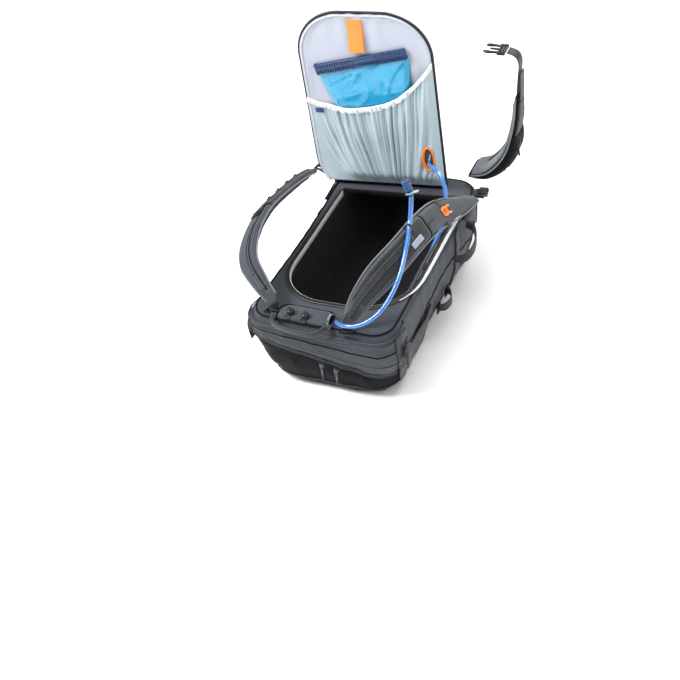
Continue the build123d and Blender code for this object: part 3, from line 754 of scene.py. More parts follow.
def inner_walls():
    """The lining from the rim down to the floor of the compartment."""
    rows = []
    for z, share in ((180.5, 0.0), (176, 0.02), (165, 0.10), (150, 0.35), (120, 0.9), (80, 1.0), (40, 1.0),
                     (11, 1.0)):
        inner = wall_radius(z) - 9
        radius = np.minimum(RIM_R - 0.5, inner) * (1 - share) + inner * share
        rows.append(np.column_stack([radius * np.cos(TURN), radius * np.sin(TURN),
                                     np.full(AROUND, float(z))]))
    rows.append(np.column_stack([rows[-1][:, 0] * 0.5, rows[-1][:, 1] * 0.5, np.full(AROUND, 10.0)]))
    rows.append(np.column_stack([rows[-1][:, 0] * 0.02, rows[-1][:, 1] * 0.02, np.full(AROUND, 10.0)]))
    rows = np.array(rows)
    for i in range(2, len(rows) - 2):
        for j in range(AROUND):
            rows[i, j, :2] *= 1 - 0.012 * (1 + noise.noise(Vector(rows[i, j] * 0.02)))
    piece = make("compartment_lining", rows.reshape(-1, 3),
                 grid_faces(len(rows), AROUND, close_columns=True), BLACK,
                 "root", ["zip_guard"])
    thicken(piece, 1.0, offset=0)
    start, stop = column_at(-135, 178), column_at(149, 178)
    columns = spread(start, stop)
    verts = []
    depth = 13.0
    for z in (182.8, 181.0, 179.0, 176.0, 173.0, BACK_Z - depth):
        for j in columns:
            k = j % AROUND
            radius = RIM_R[k] - 1.6 - 1.5 * math.sin((182.8 - z) / depth * math.pi)
            verts.append((radius * math.cos(TURN[k]), radius * math.sin(TURN[k]), z))
    lining = make("rim_binding", verts, grid_faces(6, len(columns)), CREAM, "root",
                  ["rim_lining"])
    thicken(lining, 1.4, offset=0)


def rim_zip():
    """The zip round the opening: its tape, a coil of teeth, the stitching that holds it, and a painted
    highlight as a white strip on the right part of the rim.
    """
    columns = [k % AROUND for k in spread(column_at(-135, 178), column_at(149, 178))]
    rim = np.array([(RIM_R[k] * math.cos(TURN[k]), RIM_R[k] * math.sin(TURN[k])) for k in columns])
    ahead = directions(rim)
    side = np.column_stack([ahead[:, 1], -ahead[:, 0]])
    if (side * rim).sum() < 0:
        side = -side
    verts = []
    for distance, z in ((0.2, 182.2), (0.2, 183.6), (4.0, 184.0), (7.5, 183.8), (9.0, 182.6)):
        verts += [(*(p + s * distance), z) for p, s in zip(rim, side)]
    tape = make("rim_zip_tape", verts, grid_faces(5, len(rim)), COIL, "root", ["rim_zip_track"])
    thicken(tape, 0.6, offset=0)
    dense = spline_path(np.column_stack([rim + side * 1.2, np.full(len(rim), 184.2)]), 560)
    heading = directions(dense)
    places = [(p, h * 0.55, np.cross(h, UP) * 1.5, UP * 0.6) for p, h in zip(dense[::1], heading[::1])]
    boxes("rim_zip_coil", places, COIL, "root")
    # painted highlight: a white strip in the white elastic cloth on the right part of the rim, narrowing
    # towards the top end
    strip = []
    right = [(p, s) for p, s in zip(rim, side) if p[0] > 70 and p[1] > -150]
    for distance, z in ((9.5, 183.4), (10.5, 185.2), (14, 185.8), (18, 185.2), (19, 183.2)):
        strip += [(*(p + s * (9.5 + (distance - 9.5) * (0.1 + 0.55 * smooth(-150, -40, p[1])))), z) for p,
                  s in right]
    white = make("rim_painted_highlight_strip", strip, grid_faces(5, len(right)), ELASTIC, "root")
    thicken(white, 0.8, offset=0)
    stitches("rim_stitching", [np.column_stack([rim + side * 7.8, np.full(len(rim), 183.9)])], THREAD,
             "root")


pack_shell()
inner_walls()
rim_zip()


# ------------------------------------------------------------------ top end
ZIP_Z = 98.0
ZIP_SLOPE = -72 / 316
END = spread(column_at(-165, -205), column_at(165, -205))


def zip_height(column):
    return ZIP_Z + ZIP_SLOPE * SKIN[8, column % AROUND, 0]


def end_edge(column):
    """1 over most of the end, falling to 0 at both side seams."""
    share = END.index(column) / (len(END) - 1)
    return float(smooth(0, 0.06, share) * smooth(0, 0.06, 1 - share))


def end_line(height, grow, first=0, last=None):
    """A line across the end: a height for each column, and how far it stands off the skin."""
    return [skin_point(c, row_at(min(height(c), 179)), grow(c) if callable(grow) else grow)
            for c in END[first:last]]


def top_end():
    """The grey cover with its seams, the zip, and the dark puffed pocket below it."""
    verts = []
    rows = 22
    for i in range(rows):
        share = i / (rows - 1)
        for column in END:
            low = zip_height(column) + 5
            z = low + (max(low + 2, 176) - low) * share
            swell = math.sin(math.pi * min(1, share * 1.05)) ** 0.7
            lift = 4 + 4.5 * swell * end_edge(column) + folds((z * 2, column * 3.0, 9), 0.7)
            if share > 0.97:
                lift = 1.0
            verts.append(skin_point(column, row_at(min(z, 178)), lift))
    cover = make("end_cover", verts, grid_faces(rows, len(END)), GREY, "root",
                 ["top_end_cover"])
    thicken(cover, 2.2)
    for number, share in enumerate((0.30, 0.62, 0.86)):
        line = end_line(lambda c: zip_height(c) + 5 + (171 - zip_height(c)) * share,
                        lambda c: 4.5 + 4.6 * end_edge(c))
        seam(f"end_piping_{number}", line, 1.5, INK if number == 1 else GREY)
    rows_of = [end_line(lambda c: zip_height(c) + 5 + (171 - zip_height(c)) * s,
                        lambda c: 4.9 + 4.6 * end_edge(c))
               for s in (0.04, 0.255, 0.345, 0.575, 0.665, 0.82)]
    stitches("end_stitching", rows_of, THREAD, "root")
    verts = []
    rows = 30
    for i in range(rows):
        share = i / (rows - 1)
        for column in END:
            top = zip_height(column) - 4.5
            z = 1.5 + (top - 1.5) * share
            swell = math.sin(math.pi * (0.08 + 0.86 * share)) ** 0.6
            lift = 1.5 + 8.5 * swell * (0.25 + 0.75 * end_edge(column)) + folds((column * 3.2, z * 2.2, 40),
                    1.5) * swell
            verts.append(skin_point(column, row_at(z), min(lift, 13)))
    pocket = make("end_pocket", verts, grid_faces(rows, len(END)), INK, "root",
                  ["top_pocket_panel"])
    thicken(pocket, 1.6)
    seam("end_pocket_piping", end_line(lambda c: 26.0, lambda c: 8 + 2.4 * end_edge(c)), 1.6, GREY)
    verts = []
    for offset, lift in ((-5.5, 5.0), (-2, 6.6), (2, 6.6), (5.5, 5.0)):
        verts += [skin_point(c, row_at(zip_height(c) + offset), lift) for c in END]
    tape = make("end_zip_tape", verts, grid_faces(4, len(END)), COIL, "root", ["top_pocket_zip"])
    thicken(tape, 0.8)
    middle = spline_path(end_line(zip_height, 7.2), 330)
    heading = directions(middle)
    places = []
    for k, (point, along) in enumerate(zip(middle, heading)):
        out = np.cross(along, UP)
        out /= np.linalg.norm(out)
        rise = np.cross(out, along)
        side = 1 if k % 2 else -1
        places.append((point + rise * side * 1.1, along * 0.5, rise * 1.6, out * 0.8))
    boxes("end_zip_teeth", places, COIL, "root")


def slider_pull(name, node, x, body):
    """A zip slider with a bridge, and a twisted cord pull in a shrunk sleeve."""
    out = np.array([0, -1.0, 0])
    along = np.array([316, 0, -72]) / math.hypot(316, 72)
    rise = np.array([72, 0, 316]) / math.hypot(316, 72)
    middle = np.array([x, -291.5, ZIP_Z + ZIP_SLOPE * x])
    places = [(middle - out * 0.4, along * 5.2, rise * 4.2, out * 0.9),
              (middle + out * 2.6, along * 4.6, rise * 3.4, out * 0.7),
              (middle + out * 1.4 + along * 3.8, along * 0.8, rise * 1.2, out * 1.4)]
    boxes(name + "_body", places, METAL, body, [node], bevel=0.5)
    top = middle + out * 3.4 + rise * 1.0
    loop = [top + np.array([math.sin(t) * 2.3, -0.5 - 0.3 * math.sin(2 * t), -8 + 8 * math.cos(t)])
            for t in np.linspace(0, 2 * math.pi, 36, endpoint=False)]
    tube(name + "_loop", loop, 0.75, PULL_CORD, body, closed=True, sides=7)
    for strand in (0, math.pi):
        twist = [top + np.array([1.1 * math.cos(strand + s * 9), -0.8 - 0.6 * math.sin(strand + s * 9),
                                 -15 - 11 * s])
                 for s in np.linspace(0, 1, 50)]
        tube(f"{name}_cord_{int(strand)}", twist, 0.95, PULL_CORD, body, sides=7)
    grip = [top + np.array([0.4 * s, -0.9, -25 - 13 * s]) for s in np.linspace(0, 1, 14)]
    widths = [1.3, 2.1, 2.3, 2.3, 2.1, 2.3, 2.1, 2.3, 2.1, 2.3, 2.3, 2.2, 2.0, 1.2]
    tube(name + "_grip", grip, widths, PLASTIC, body, sides=12)


top_end()
slider_pull("slider_left", "pocket_slider_left", 8, "left_slider")
slider_pull("slider_right", "pocket_slider_right", 40, "right_slider")


# ------------------------------------------------------------------ side walls: seams, straps, pocket, loops
def side_details():
    """Piping, seams and stitch rows round the pack, below the back frame."""
    around = [k for k in range(AROUND)]
    edge = [skin_point(k, ROLL_ROW + 1.6, 0.9) for k in around]
    tube("frame_piping", edge, 1.9, INK, "root", closed=True, sides=8)
    stitches("frame_stitching", [[skin_point(k, ROLL_ROW + 0.4, 0.3) for k in around],
                                 [skin_point(k, ROLL_ROW + 4.3, 0.3) for k in around]], THREAD, "root")
    for name, low, high in (("right", column_at(165, -205), column_at(165, 236)),
                            ("left", column_at(-165, 236), column_at(-165, -205))):
        columns = spread(low, high)
        count = len(columns)
        line = [skin_point(c, row_at(60 + 58 * math.sin(math.pi * k / count) ** 0.8), 0.8) for k,
                c in enumerate(columns)]
        seam(f"side_piping_{name}", line, 1.5, INK)
        low_line = [skin_point(c, row_at(22 + 10 * math.sin(math.pi * k / count)), 0.6) for k,
                    c in enumerate(columns)]
        seam(f"side_low_piping_{name}", low_line, 1.2, INK)
        offset = [skin_point(c, row_at(66 + 58 * math.sin(math.pi * k / count) ** 0.8), 0.5) for k,
                  c in enumerate(columns)]
        stitches(f"side_stitching_{name}", [offset], THREAD, "root")
    upright = []
    for x, y in ((165, -205), (165, 236), (-165, 236), (-165, -205)):
        column = column_at(x, y)
        upright.append([skin_point(column, row, 0.9) for row in np.linspace(1, ROLL_ROW, 40)])
    for number, line in enumerate(upright):
        tube(f"corner_piping_{number}", line, 1.4, INK, "root", sides=8)
    columns = spread(RIGHT_HIGH, LEFT_HIGH)
    skin_patch("base_dark_foot", columns, np.linspace(1, row_at(52), 12), 1.4, INK, thick=1.2)
    stitches("base_stitching", [[skin_point(c, row_at(50), 1.8) for c in columns]], THREAD, "root")


def skin_strap(name, y, side, grow, width, low, high, replaces=()):
    """A strap that goes up a side wall at one distance along the pack."""
    verts = []
    steps = 44
    columns = []
    for edge in (-width / 2, width / 2):
        gap = np.abs(SKIN[10, :, 1] - (y + edge)) + 1000 * (SKIN[10, :, 0] * side < 0)
        first = int(np.argmin(gap))
        other = first + (1 if SKIN[10, (first + 1) % AROUND, 1] > SKIN[10, first, 1] else -1)
        here, there = SKIN[10, first, 1], SKIN[10, other % AROUND, 1]
        share = np.clip((y + edge - here) / (there - here + 1e-9), -0.5, 1)
        columns.append(first + (other - first) * share)
    for k in range(steps):
        row = row_at(low + (high - low) * k / (steps - 1))
        pair = [skin_point(c % AROUND, row, grow + 0.5 * math.sin(k * 0.6)) for c in columns]
        for share in (0, 0.25, 0.5, 0.75, 1):
            verts.append(pair[0] * (1 - share) + pair[1] * share)
    piece = make(name, verts, grid_faces(steps, 5), WEB, "root", replaces)
    return thicken(piece, 1.8, offset=0)


def side_release_buckle(name, centre, along, across, out, body, replaces, size=1.0):
    """A side-release buckle: a rounded body with side cut-outs, a centre rib, and a ladder bar."""
    a, b, c = (np.asarray(v, float) / np.linalg.norm(v) for v in (along, across, out))
    centre = np.asarray(centre, float)
    shape = []
    half_l, half_w = 19 * size, 13 * size
    for t in np.linspace(0, 2 * math.pi, 48, endpoint=False):
        l = half_l * math.copysign(abs(math.cos(t)) ** 0.45, math.cos(t))
        w = half_w * math.copysign(abs(math.sin(t)) ** 0.45, math.sin(t))
        waist = 1 - 0.26 * math.exp(-((l - 5 * size) / (5 * size)) ** 2)
        shape.append((l, w * waist))
    verts, faces = [], []
    levels = ((-3.4, 0.9), (-2.6, 1.0), (2.2, 1.0), (3.3, 0.88), (3.5, 0.7))
    for height, scale in levels:
        verts += [centre + a * l * scale + b * w * scale + c * height * size for l, w in shape]
    faces = grid_faces(len(levels), len(shape), close_columns=True)
    faces.append(tuple(reversed(range(len(shape)))))
    faces.append(tuple((len(levels) - 1) * len(shape) + k for k in range(len(shape))))
    piece = make(name, verts, faces, PLASTIC, body, replaces)
    ribs = [(centre + c * 3.6 * size + a * (l * size), a * 0.7 * size, b * 6.5 * size,
             c * 0.5 * size) for l in (-13, -10, -7)]
    ribs.append((centre + c * 3.4 * size + a * 6 * size, a * 7 * size, b * 1.2 * size, c * 0.8 * size))
    boxes(name + "_ribs", ribs, PLASTIC, body, bevel=0.3)
    return piece


def side_hardware():
    grow = 11.5
    skin_strap("compression_right_top", -230, 1, grow, 20, 20, 176, ["compression_straps"])
    skin_strap("compression_left_top", -230, -1, grow, 20, 20, 176)
    skin_strap("compression_right_base", 106, 1, 3.0, 20, 20, 176)
    skin_strap("compression_left_base", 106, -1, 3.0, 20, 20, 176)
    for side, name in ((1, "right"), (-1, "left")):
        side_release_buckle(f"compression_buckle_{name}", (side * 180, -230, 120), (0, 0, 1), (0, 1, 0),
                            (side, 0, 0),
                            "root", ["compression_buckles"] if side > 0 else ())
        tail = [(side * 176, -230, 140, 0, 1, 0, 20, 1.8), (side * 184, -231, 128, 0, 1, 0, 20, 1.8),
                (side * 184, -233, 108, 0, 1, 0.1, 20, 1.8), (side * 181, -234, 84, 0, 1, 0.2, 19, 1.8)]
        band(f"compression_tail_{name}", tail, oval(16, 6), WEB, "root", rings=24)
    low, high = column_at(165, -200), column_at(165, -52)
    columns = spread(low, high)
    verts = []
    for i in range(16):
        share = i / 15
        for j, column in enumerate(columns):
            edge = math.sin(math.pi * j / (len(columns) - 1)) ** 0.35
            z = 10 + (96 - 6 * math.sin(math.pi * j / (len(columns) - 1)) - 10) * share
            gather = 0.9 * share * math.sin(j * 1.9)
            verts.append(skin_point(column, row_at(z), 1.2 + (6.5 - 1.5 * share) * edge + gather))
    pocket = make("side_pocket", verts, grid_faces(16, len(columns)), MESH, "root",
                  ["side_mesh_pocket"])
    thicken(pocket, 1.0)
    count = len(columns) - 1
    hem = [skin_point(c, row_at(96 - 6 * math.sin(math.pi * j / count)),
                      1.6 + 5.2 * math.sin(math.pi * j / count) ** 0.35)
           for j, c in enumerate(columns)]
    tube("side_pocket_hem", hem, 2.4, GREY, "root", sides=8)
    carry = [(171, 152, 158, 0, .3, 1, 16, 3), (190, 146, 155, 0, .3, 1, 19, 3),
             (203, 122, 148, 0, .3, 1, 20, 4.5),
             (206, 94, 140, 0, .3, 1, 20, 4.5), (196, 70, 133, 0, .3, 1, 19, 3),
             (172, 62, 130, 0, .3, 1, 16, 3)]
    band("carry_loop_strap", carry, oval(20, 4), WEB, "root", rings=50, replaces=["carry_loop"])
    for side, name in ((1, "right"), (-1, "left")):
        loop = [(side * 157, 34, 66, 0, 0, 1, 18, 2.4), (side * 170, 30, 62, 0, 0, 1, 20, 2.4),
                (side * 178, 12, 57, 0, 0, 1, 20, 2.4), (side * 172, -8, 54, 0, 0, 1, 20, 2.4),
                (side * 156, -14, 52, 0, 0, 1, 18, 2.4)]
        band(f"ski_loop_{name}", loop, oval(20, 5), WEB, "root", rings=44,
             replaces=["ski_loops"] if side > 0 else ())
        boxes(f"ski_loop_patch_{name}", [((side * 159.8, 34, 62), (0, 11, 0), (side * 0.9, 0, 12),
                                          (side * 1.4, 0, 0)),
                                         ((side * 159.0, -15, 52), (0, 10, 0), (side * 0.9, 0, 11),
                                          (side * 1.4, 0, 0))],
              INK, "root", bevel=1.0)
        wing = [(side * (166.8 - 2.4 * (174 - z) / 120), y, z) for y, z in
                ((146, 175), (228, 175), (224, 114), (205, 126), (178, 148))]
        piece = make(f"wing_{name}", wing, [tuple(range(5))], GREY, "root")
        thicken(piece, 3.0, offset=0)
        outline = spline_path(wing + wing[:1], 90)
        tube(f"wing_piping_{name}", outline, 1.3, INK, "root", sides=7)


side_details()
side_hardware()


# ------------------------------------------------------------------ padded bands: straps and fins
class Ribbon:
    """A band's own axes: distance along it from 0 to 1, across it from -1 to 1, and lift off its outer face."""

    def __init__(self, stations, face, thick, count=80):
        path = spline_path(stations, count)
        self.place = path[:, :3]
        heading = directions(self.place)
        across = path[:, 3:6] - heading * (path[:, 3:6] * heading).sum(1)[:, None]
        self.across = across / np.linalg.norm(across, axis=1)[:, None]
        normal = np.cross(heading, self.across)
        sign = 1 if (normal @ np.asarray(face, float)).sum() > 0 else -1
        self.normal = normal * sign
        self.width = path[:, 6]
        self.thick = np.full(count, float(thick))
        self.count = count

    def at(self, s, x, lift, side=1):
        k = s * (self.count - 1)
        pick = [np.array([np.interp(k, range(self.count), field[:, c]) for c in range(3)])
                for field in (self.place, self.across, self.normal)]
        width = np.interp(k, range(self.count), self.width)
        thick = np.interp(k, range(self.count), self.thick)
        crown = (1 - min(1, abs(x)) ** 6) ** 0.5
        return pick[0] + pick[1] * x * width / 2 + pick[2] * side * (thick / 2 * crown + lift)

    def line(self, s0, s1, x0, x1, lift, count=40, side=1):
        return [self.at(s0 + (s1 - s0) * t, x0 + (x1 - x0) * t, lift, side) for t in np.linspace(0, 1,
                count)]

    def patch(self, s0, s1, x0, x1, lift, rows=40, columns=12, side=1):
        return [self.at(s0 + (s1 - s0) * i / (rows - 1), x0 + (x1 - x0) * j / (columns - 1), lift, side)
                for i in range(rows) for j in range(columns)]


def surface_of(piece):
    """The final surface of a piece, to lay other pieces on."""
    bm = bmesh.new()
    bm.from_mesh(piece.data)
    tree = BVHTree.FromBMesh(bm)
    bm.free()
    return tree


def lay_on(tree, points, lift):
    """Moves points to the nearest place on a surface, and lifts them off it."""
    laid = []
    for point in points:
        place, normal, _, _ = tree.find_nearest(Vector([c * MM for c in point]))
        laid.append(np.array((place + normal * lift * MM)[:]) / MM)
    return laid


def pad_from(name, stations, face, thick, material, body, replaces, cap=3.0, rings=64, voxel=5.0,
             power=6):
    """A padded band: an even section that is swollen by cloth simulation."""
    stations = [(*s[:6], s[6] - 3, thick - 2) for s in stations]
    piece = band(name, stations, oval(36, power), material, body, rings=rings, replaces=replaces,
                 wobble=0.5)
    inflate(piece, voxel=voxel, cap=cap)
    return piece


def overlay(name, ribbon, tree, s0, s1, x0, x1, lift, material, body, thick=0.8, rows=40, columns=12,
            side=1):
    """Cloth sewn on a pad's face."""
    verts = lay_on(tree, ribbon.patch(s0, s1, x0, x1, 1.0, rows, columns, side), lift)
    piece = make(name, verts, grid_faces(rows, columns), material, body)
    return thicken(piece, thick, offset=0)


def edge_binding(name, ribbon, x, material, body, s0=0.02, s1=0.98, radius=2.0):
    """Binding tape rolled over a pad's edge."""
    line = []
    for t in np.linspace(s0, s1, 90):
        k = t * (ribbon.count - 1)
        pick = [np.array([np.interp(k, range(ribbon.count), field[:, c]) for c in range(3)])
                for field in (ribbon.place, ribbon.across)]
        width = np.interp(k, range(ribbon.count), ribbon.width)
        line.append(pick[0] + pick[1] * x * (width / 2 - 1.2))
    return tube(name, line, radius, material, body, sides=10)


def tilted(degrees, side):
    return (side * math.cos(math.radians(degrees)), 0.0, -math.sin(math.radians(degrees)))


RIGHT_PAD = [(70, -256, 200, 10, 26), (94, -240, 245, 30, 46), (130, -208, 292, 45, 62),
             (157, -155, 316, 52, 62),
             (168, -80, 316, 54, 62), (168, 0, 292, 54, 62), (169, 70, 258, 48, 58), (173, 140, 223, 32, 44),
             (179, 196, 199, 14, 26)]
LEFT_PAD = [(-106, -240, 202, 8, 26), (-150, -212, 224, 24, 44), (-190, -175, 246, 34, 58),
            (-208, -117, 262, 38, 62),
            (-216, -43, 266, 38, 62), (-221, 40, 248, 36, 60), (-225, 115, 228, 28, 50),
            (-226, 170, 211, 18, 36),
            (-218, 212, 198, 10, 24)]


def strap_anchor(name, ribbon, s, root_point, width):
    """Webbing that joins a pad's end to the back frame."""
    start = ribbon.at(s, 0, 0.6)
    inner = ribbon.at(s + (0.08 if s < 0.5 else -0.08), 0, 0.8)
    across = ribbon.across[0 if s < 0.5 else -1]
    middle = (start + np.asarray(root_point, float)) / 2
    line = [(*inner, *across, width, 2.2), (*start, *across, width, 2.2), (*middle, *across, width, 2.2),
            (*root_point, 1, 0, 0, width, 2.2)]
    piece = band(name, line, oval(20, 6), WEB, None, rings=30)
    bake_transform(piece)
    return piece


def ladder_lock(name, node, centre, turn, body):
    """A three-bar slider: a bevelled frame, two slots, a grip lip and the bar between."""
    c, s = math.cos(math.radians(turn)), math.sin(math.radians(turn))
    a, b, up = np.array([c, s, 0.0]), np.array([-s, c, 0.0]), UP
    centre = np.asarray(centre, float)
    places = [(centre + b * y, a * 15, b * 2.0, up * h) for y,
              h in ((-10.4, 2.2), (10.2, 1.8), (-0.4, 1.5), (5.2, 1.3))]
    places += [(centre + a * x, a * 2.0, b * 12, up * 2.0) for x in (-13, 13)]
    places += [(centre + b * -12.6 + up * 1.6, a * 11, b * 1.6, up * 1.0)]
    places += [(centre + b * -12.6 + up * 2.7 + a * x, a * 0.7, b * 1.4, up * 0.4) for x in (-8, -4, 0, 4,
            8)]
    return boxes(name, places, PLASTIC, body, [node], bevel=0.7)


def right_strap():
    stations = [(x, y, z, *tilted(t, 1), w, 14) for x, y, z, t, w in RIGHT_PAD]
    ribbon = Ribbon(stations, (0.6, 0, 0.8), 14)
    body = "right_strap"
    pad = pad_from("right_pad", stations, (0, 0, 1), 14, GREY_STRAP, body,
                   ["right_shoulder_pad"])
    tree = surface_of(pad)
    for x, cloth in ((-1, GREY_SOFT), (1, GREY_SOFT)):
        edge_binding(f"right_pad_binding_{'inner' if x < 0 else 'outer'}", ribbon, x, cloth, body)
    overlay("right_pad_mesh", ribbon, tree, 0.09, 0.49, -0.74, 0.70, 0.9, MESH, body)
    overlay("right_pad_webbing", ribbon, tree, 0.03, 0.40, -0.42, 0.02, 2.2, WEB, body, thick=1.4)
    overlay("right_pad_panel", ribbon, tree, 0.50, 0.93, -0.80, 0.80, 0.7, GREY, body,
            thick=0.8)
    overlay("right_pad_window", ribbon, tree, 0.375, 0.44, 0.10, 0.52, 2.6, CLEAR, body,
            thick=1.2,
            rows=10, columns=8)
    overlay("right_pad_slit", ribbon, tree, 0.505, 0.575, 0.02, 0.12, 1.7, COIL, body, thick=1.0,
            rows=16,
            columns=4)
    rows = [lay_on(tree, ribbon.line(0.10, 0.48, x, x, 1), 1.5) for x in (-0.72, 0.68)]
    rows += [lay_on(tree, ribbon.line(0.51, 0.92, x, x, 1), 1.3) for x in (-0.76, 0.76)]
    rows += [lay_on(tree, ribbon.line(0.04, 0.39, x, x, 1), 3.1) for x in (-0.40, 0.0)]
    rows += [lay_on(tree, ribbon.line(s, s, -0.7, 0.7, 1, 24), 1.6) for s in (0.485, 0.5, 0.515)]
    rows += [lay_on(tree, ribbon.line(0.1, 0.9, x, x, 1, side=-1), 0.5) for x in (-0.6, 0.6)]
    stitches("right_pad_stitching", rows, THREAD, body)
    seam("right_pad_seam", lay_on(tree, ribbon.line(0.495, 0.495, -0.9, 0.9, 1, 30), 0.9), 1.2, INK,
         body)
    for number, s in enumerate((0.16, 0.24, 0.32)):
        line = lay_on(tree, ribbon.line(s, s, -0.46, 0.06, 1, 14), 3.2)
        line[5:9] = [p + ribbon.normal[30] * 2.2 for p in line[5:9]]
        tube(f"right_daisy_{number}", line, 1.6, WEB, body, sides=8)
    overlay("right_pad_air_mesh", ribbon, tree, 0.08, 0.93, -0.78, 0.78, 0.5, AIR_MESH, body,
            side=-1)
    ladder_lock("right_lock", "right_ladder_lock", (184, 224, 194), 10, body)
    strap_anchor("right_top_anchor", ribbon, 0.0, (70, -267, 184.5), 22)
    return ribbon, tree


def left_strap():
    stations = [(x, y, z, *tilted(t, -1), w, 14) for x, y, z, t, w in LEFT_PAD]
    ribbon = Ribbon(stations, (-0.5, 0, 0.8), 14)
    body = "left_strap"
    pad = pad_from("left_pad", stations, (0, 0, 1), 14, GREY_STRAP, body,
                   ["left_shoulder_pad"])
    tree = surface_of(pad)
    edge_binding("left_pad_binding_inner", ribbon, -1, GREY_SOFT, body)
    edge_binding("left_pad_binding_outer", ribbon, 1, GREY_SOFT, body)
    overlay("left_pad_panel", ribbon, tree, 0.06, 0.50, -0.80, 0.80, 0.7, GREY, body)
    overlay("left_pad_mesh", ribbon, tree, 0.52, 0.93, -0.76, 0.76, 0.9, MESH, body)
    overlay("left_pad_webbing", ribbon, tree, 0.50, 0.96, -0.16, 0.30, 2.1, WEB, body, thick=1.4)
    overlay("left_pad_slit", ribbon, tree, 0.14, 0.40, -0.18, -0.04, 1.8, COIL, body, thick=1.1,
            rows=40,
            columns=4)
    seam("left_pad_piping", lay_on(tree, ribbon.line(0.05, 0.50, -0.46, -0.40, 1), 1.4), 1.3, INK,
         body)
    seam("left_pad_cross_seam", lay_on(tree, ribbon.line(0.51, 0.51, -0.9, 0.9, 1, 30), 1.0), 1.3, INK,
         body)
    rows = [lay_on(tree, ribbon.line(0.07, 0.49, x, x, 1), 1.3) for x in (-0.76, -0.30, 0.06, 0.76)]
    rows += [lay_on(tree, ribbon.line(0.53, 0.92, x, x, 1), 1.5) for x in (-0.74, 0.74)]
    rows += [lay_on(tree, ribbon.line(0.51, 0.95, x, x, 1), 3.0) for x in (-0.14, 0.28)]
    rows += [lay_on(tree, ribbon.line(0.1, 0.9, x, x, 1, side=-1), 0.5) for x in (-0.6, 0.6)]
    stitches("left_pad_stitching", rows, THREAD, body)
    for number, s in enumerate((0.60, 0.69, 0.78, 0.86)):
        line = lay_on(tree, ribbon.line(s, s, -0.22, 0.36, 1, 14), 3.2)
        line[5:9] = [p + ribbon.normal[50] * 2.4 for p in line[5:9]]
        tube(f"left_daisy_{number}", line, 1.7, WEB, body, sides=8)
    overlay("left_pad_air_mesh", ribbon, tree, 0.08, 0.93, -0.78, 0.78, 0.5, AIR_MESH, body, side=-1)
    ladder_lock("left_lock", "left_ladder_lock", (-212, 238, 193), -10, body)
    strap_anchor("left_top_anchor", ribbon, 0.0, (-104, -250, 184.5), 22)
    return ribbon, tree


def strap_hardware():
    """Webbing below the pads, load lifters, and the chest clip with its strap and its adjuster."""
    for name, points, node in (
            ("right_web", [(182, 214, 187), (180, 238, 185), (176, 262, 179)], "right_strap_webbing"),
            ("left_web", [(-208, 228, 186), (-196, 250, 182), (-178, 266, 177)], "left_strap_webbing")):
        band(name, [(*p, 1, 0, 0, 20, 2.4) for p in points], oval(18, 6), WEB, "root", rings=24,
             replaces=[node])
    for number, (x, y, turn) in enumerate(((70, -270, 6), (-108, -250, -14))):
        ladder_lock(f"load_lifter_{number}", "load_lifters", (x, y, 185.6), turn, "root")
    base = np.array([168.4, 30, 277.5])
    out = np.array([0.788, 0, 0.616])
    along = np.array([0, 1, -0.44]) / math.hypot(1, 0.44)
    side = np.cross(out, along)
    centre = base + out * 14
    ring = []
    for t in np.linspace(0, 2 * math.pi, 40, endpoint=False):
        ring.append(centre + along * 10.4 * math.copysign(abs(math.cos(t)) ** 0.6, math.cos(t))
                    + side * 8.6 * math.copysign(abs(math.sin(t)) ** 0.6, math.sin(t)))
    tube("chest_clip_ring", ring, 2.6, ORANGE, "chest_clip", sides=12, closed=True,
         replaces=["sternum_clip"])
    for number, across in enumerate((-7.0, 7.0)):
        prong = [centre + along * a + side * (across * s) + out * o for a, s, o in
                 ((10, 0.9, 0), (15, 1.0, 0.4), (20, 1.12, 0.4), (25, 1.12, 0), (28, 0.92, -0.4))]
        tube(f"chest_clip_prong_{number}", spline_path(prong, 26),
             np.interp(np.linspace(0, 1, 26), [0, 0.5, 0.85, 1],
             [2.4, 2.5, 2.9, 1.4]), ORANGE, "chest_clip", sides=12)
    boxes("chest_clip_bar", [(centre, along * 1.4, side * 8.4, out * 1.5),
                             (centre + along * 4.6, along * 0.9, side * 8.2, out * 1.2)],
          ORANGE, "chest_clip", bevel=0.5)
    strip = [(*(base + out * 9.2 - along * 3 + side * s), *along, 18, 1.8) for s in (-31, -20, 0, 20, 31)]
    band("chest_strap", strip, oval(16, 6), WEB, "chest_clip", rings=26)
    base = np.array([-215, -55, 265.4])
    out = np.array([-0.616, 0, 0.788])
    along = np.array([0.0, 1, 0])
    side = np.cross(along, out)
    centre = base + out * 12
    places = [(centre, along * 12, side * 15, out * 1.6),
              (centre + out * 2.2, along * 2, side * 12, out * 1.2)]
    places += [(centre + along * a + out * 2.0, along * 0.7, side * 11, out * 0.7) for a in (-9, -6, 6, 9)]
    boxes("chest_adjuster_body", places, PLASTIC, "chest_adjuster", ["sternum_adjuster"],
          bevel=0.9)


right_strap()
left_strap()
strap_hardware()


# ------------------------------------------------------------------ hip fins
RIGHT_FIN = [(134, 199, 72), (185, 219, 80), (228, 272, 76), (250, 345, 60), (256, 412, 38)]
LEFT_FIN = [(-134, 199, 72), (-162, 236, 80), (-182, 290, 76), (-188, 350, 60), (-184, 410, 38)]


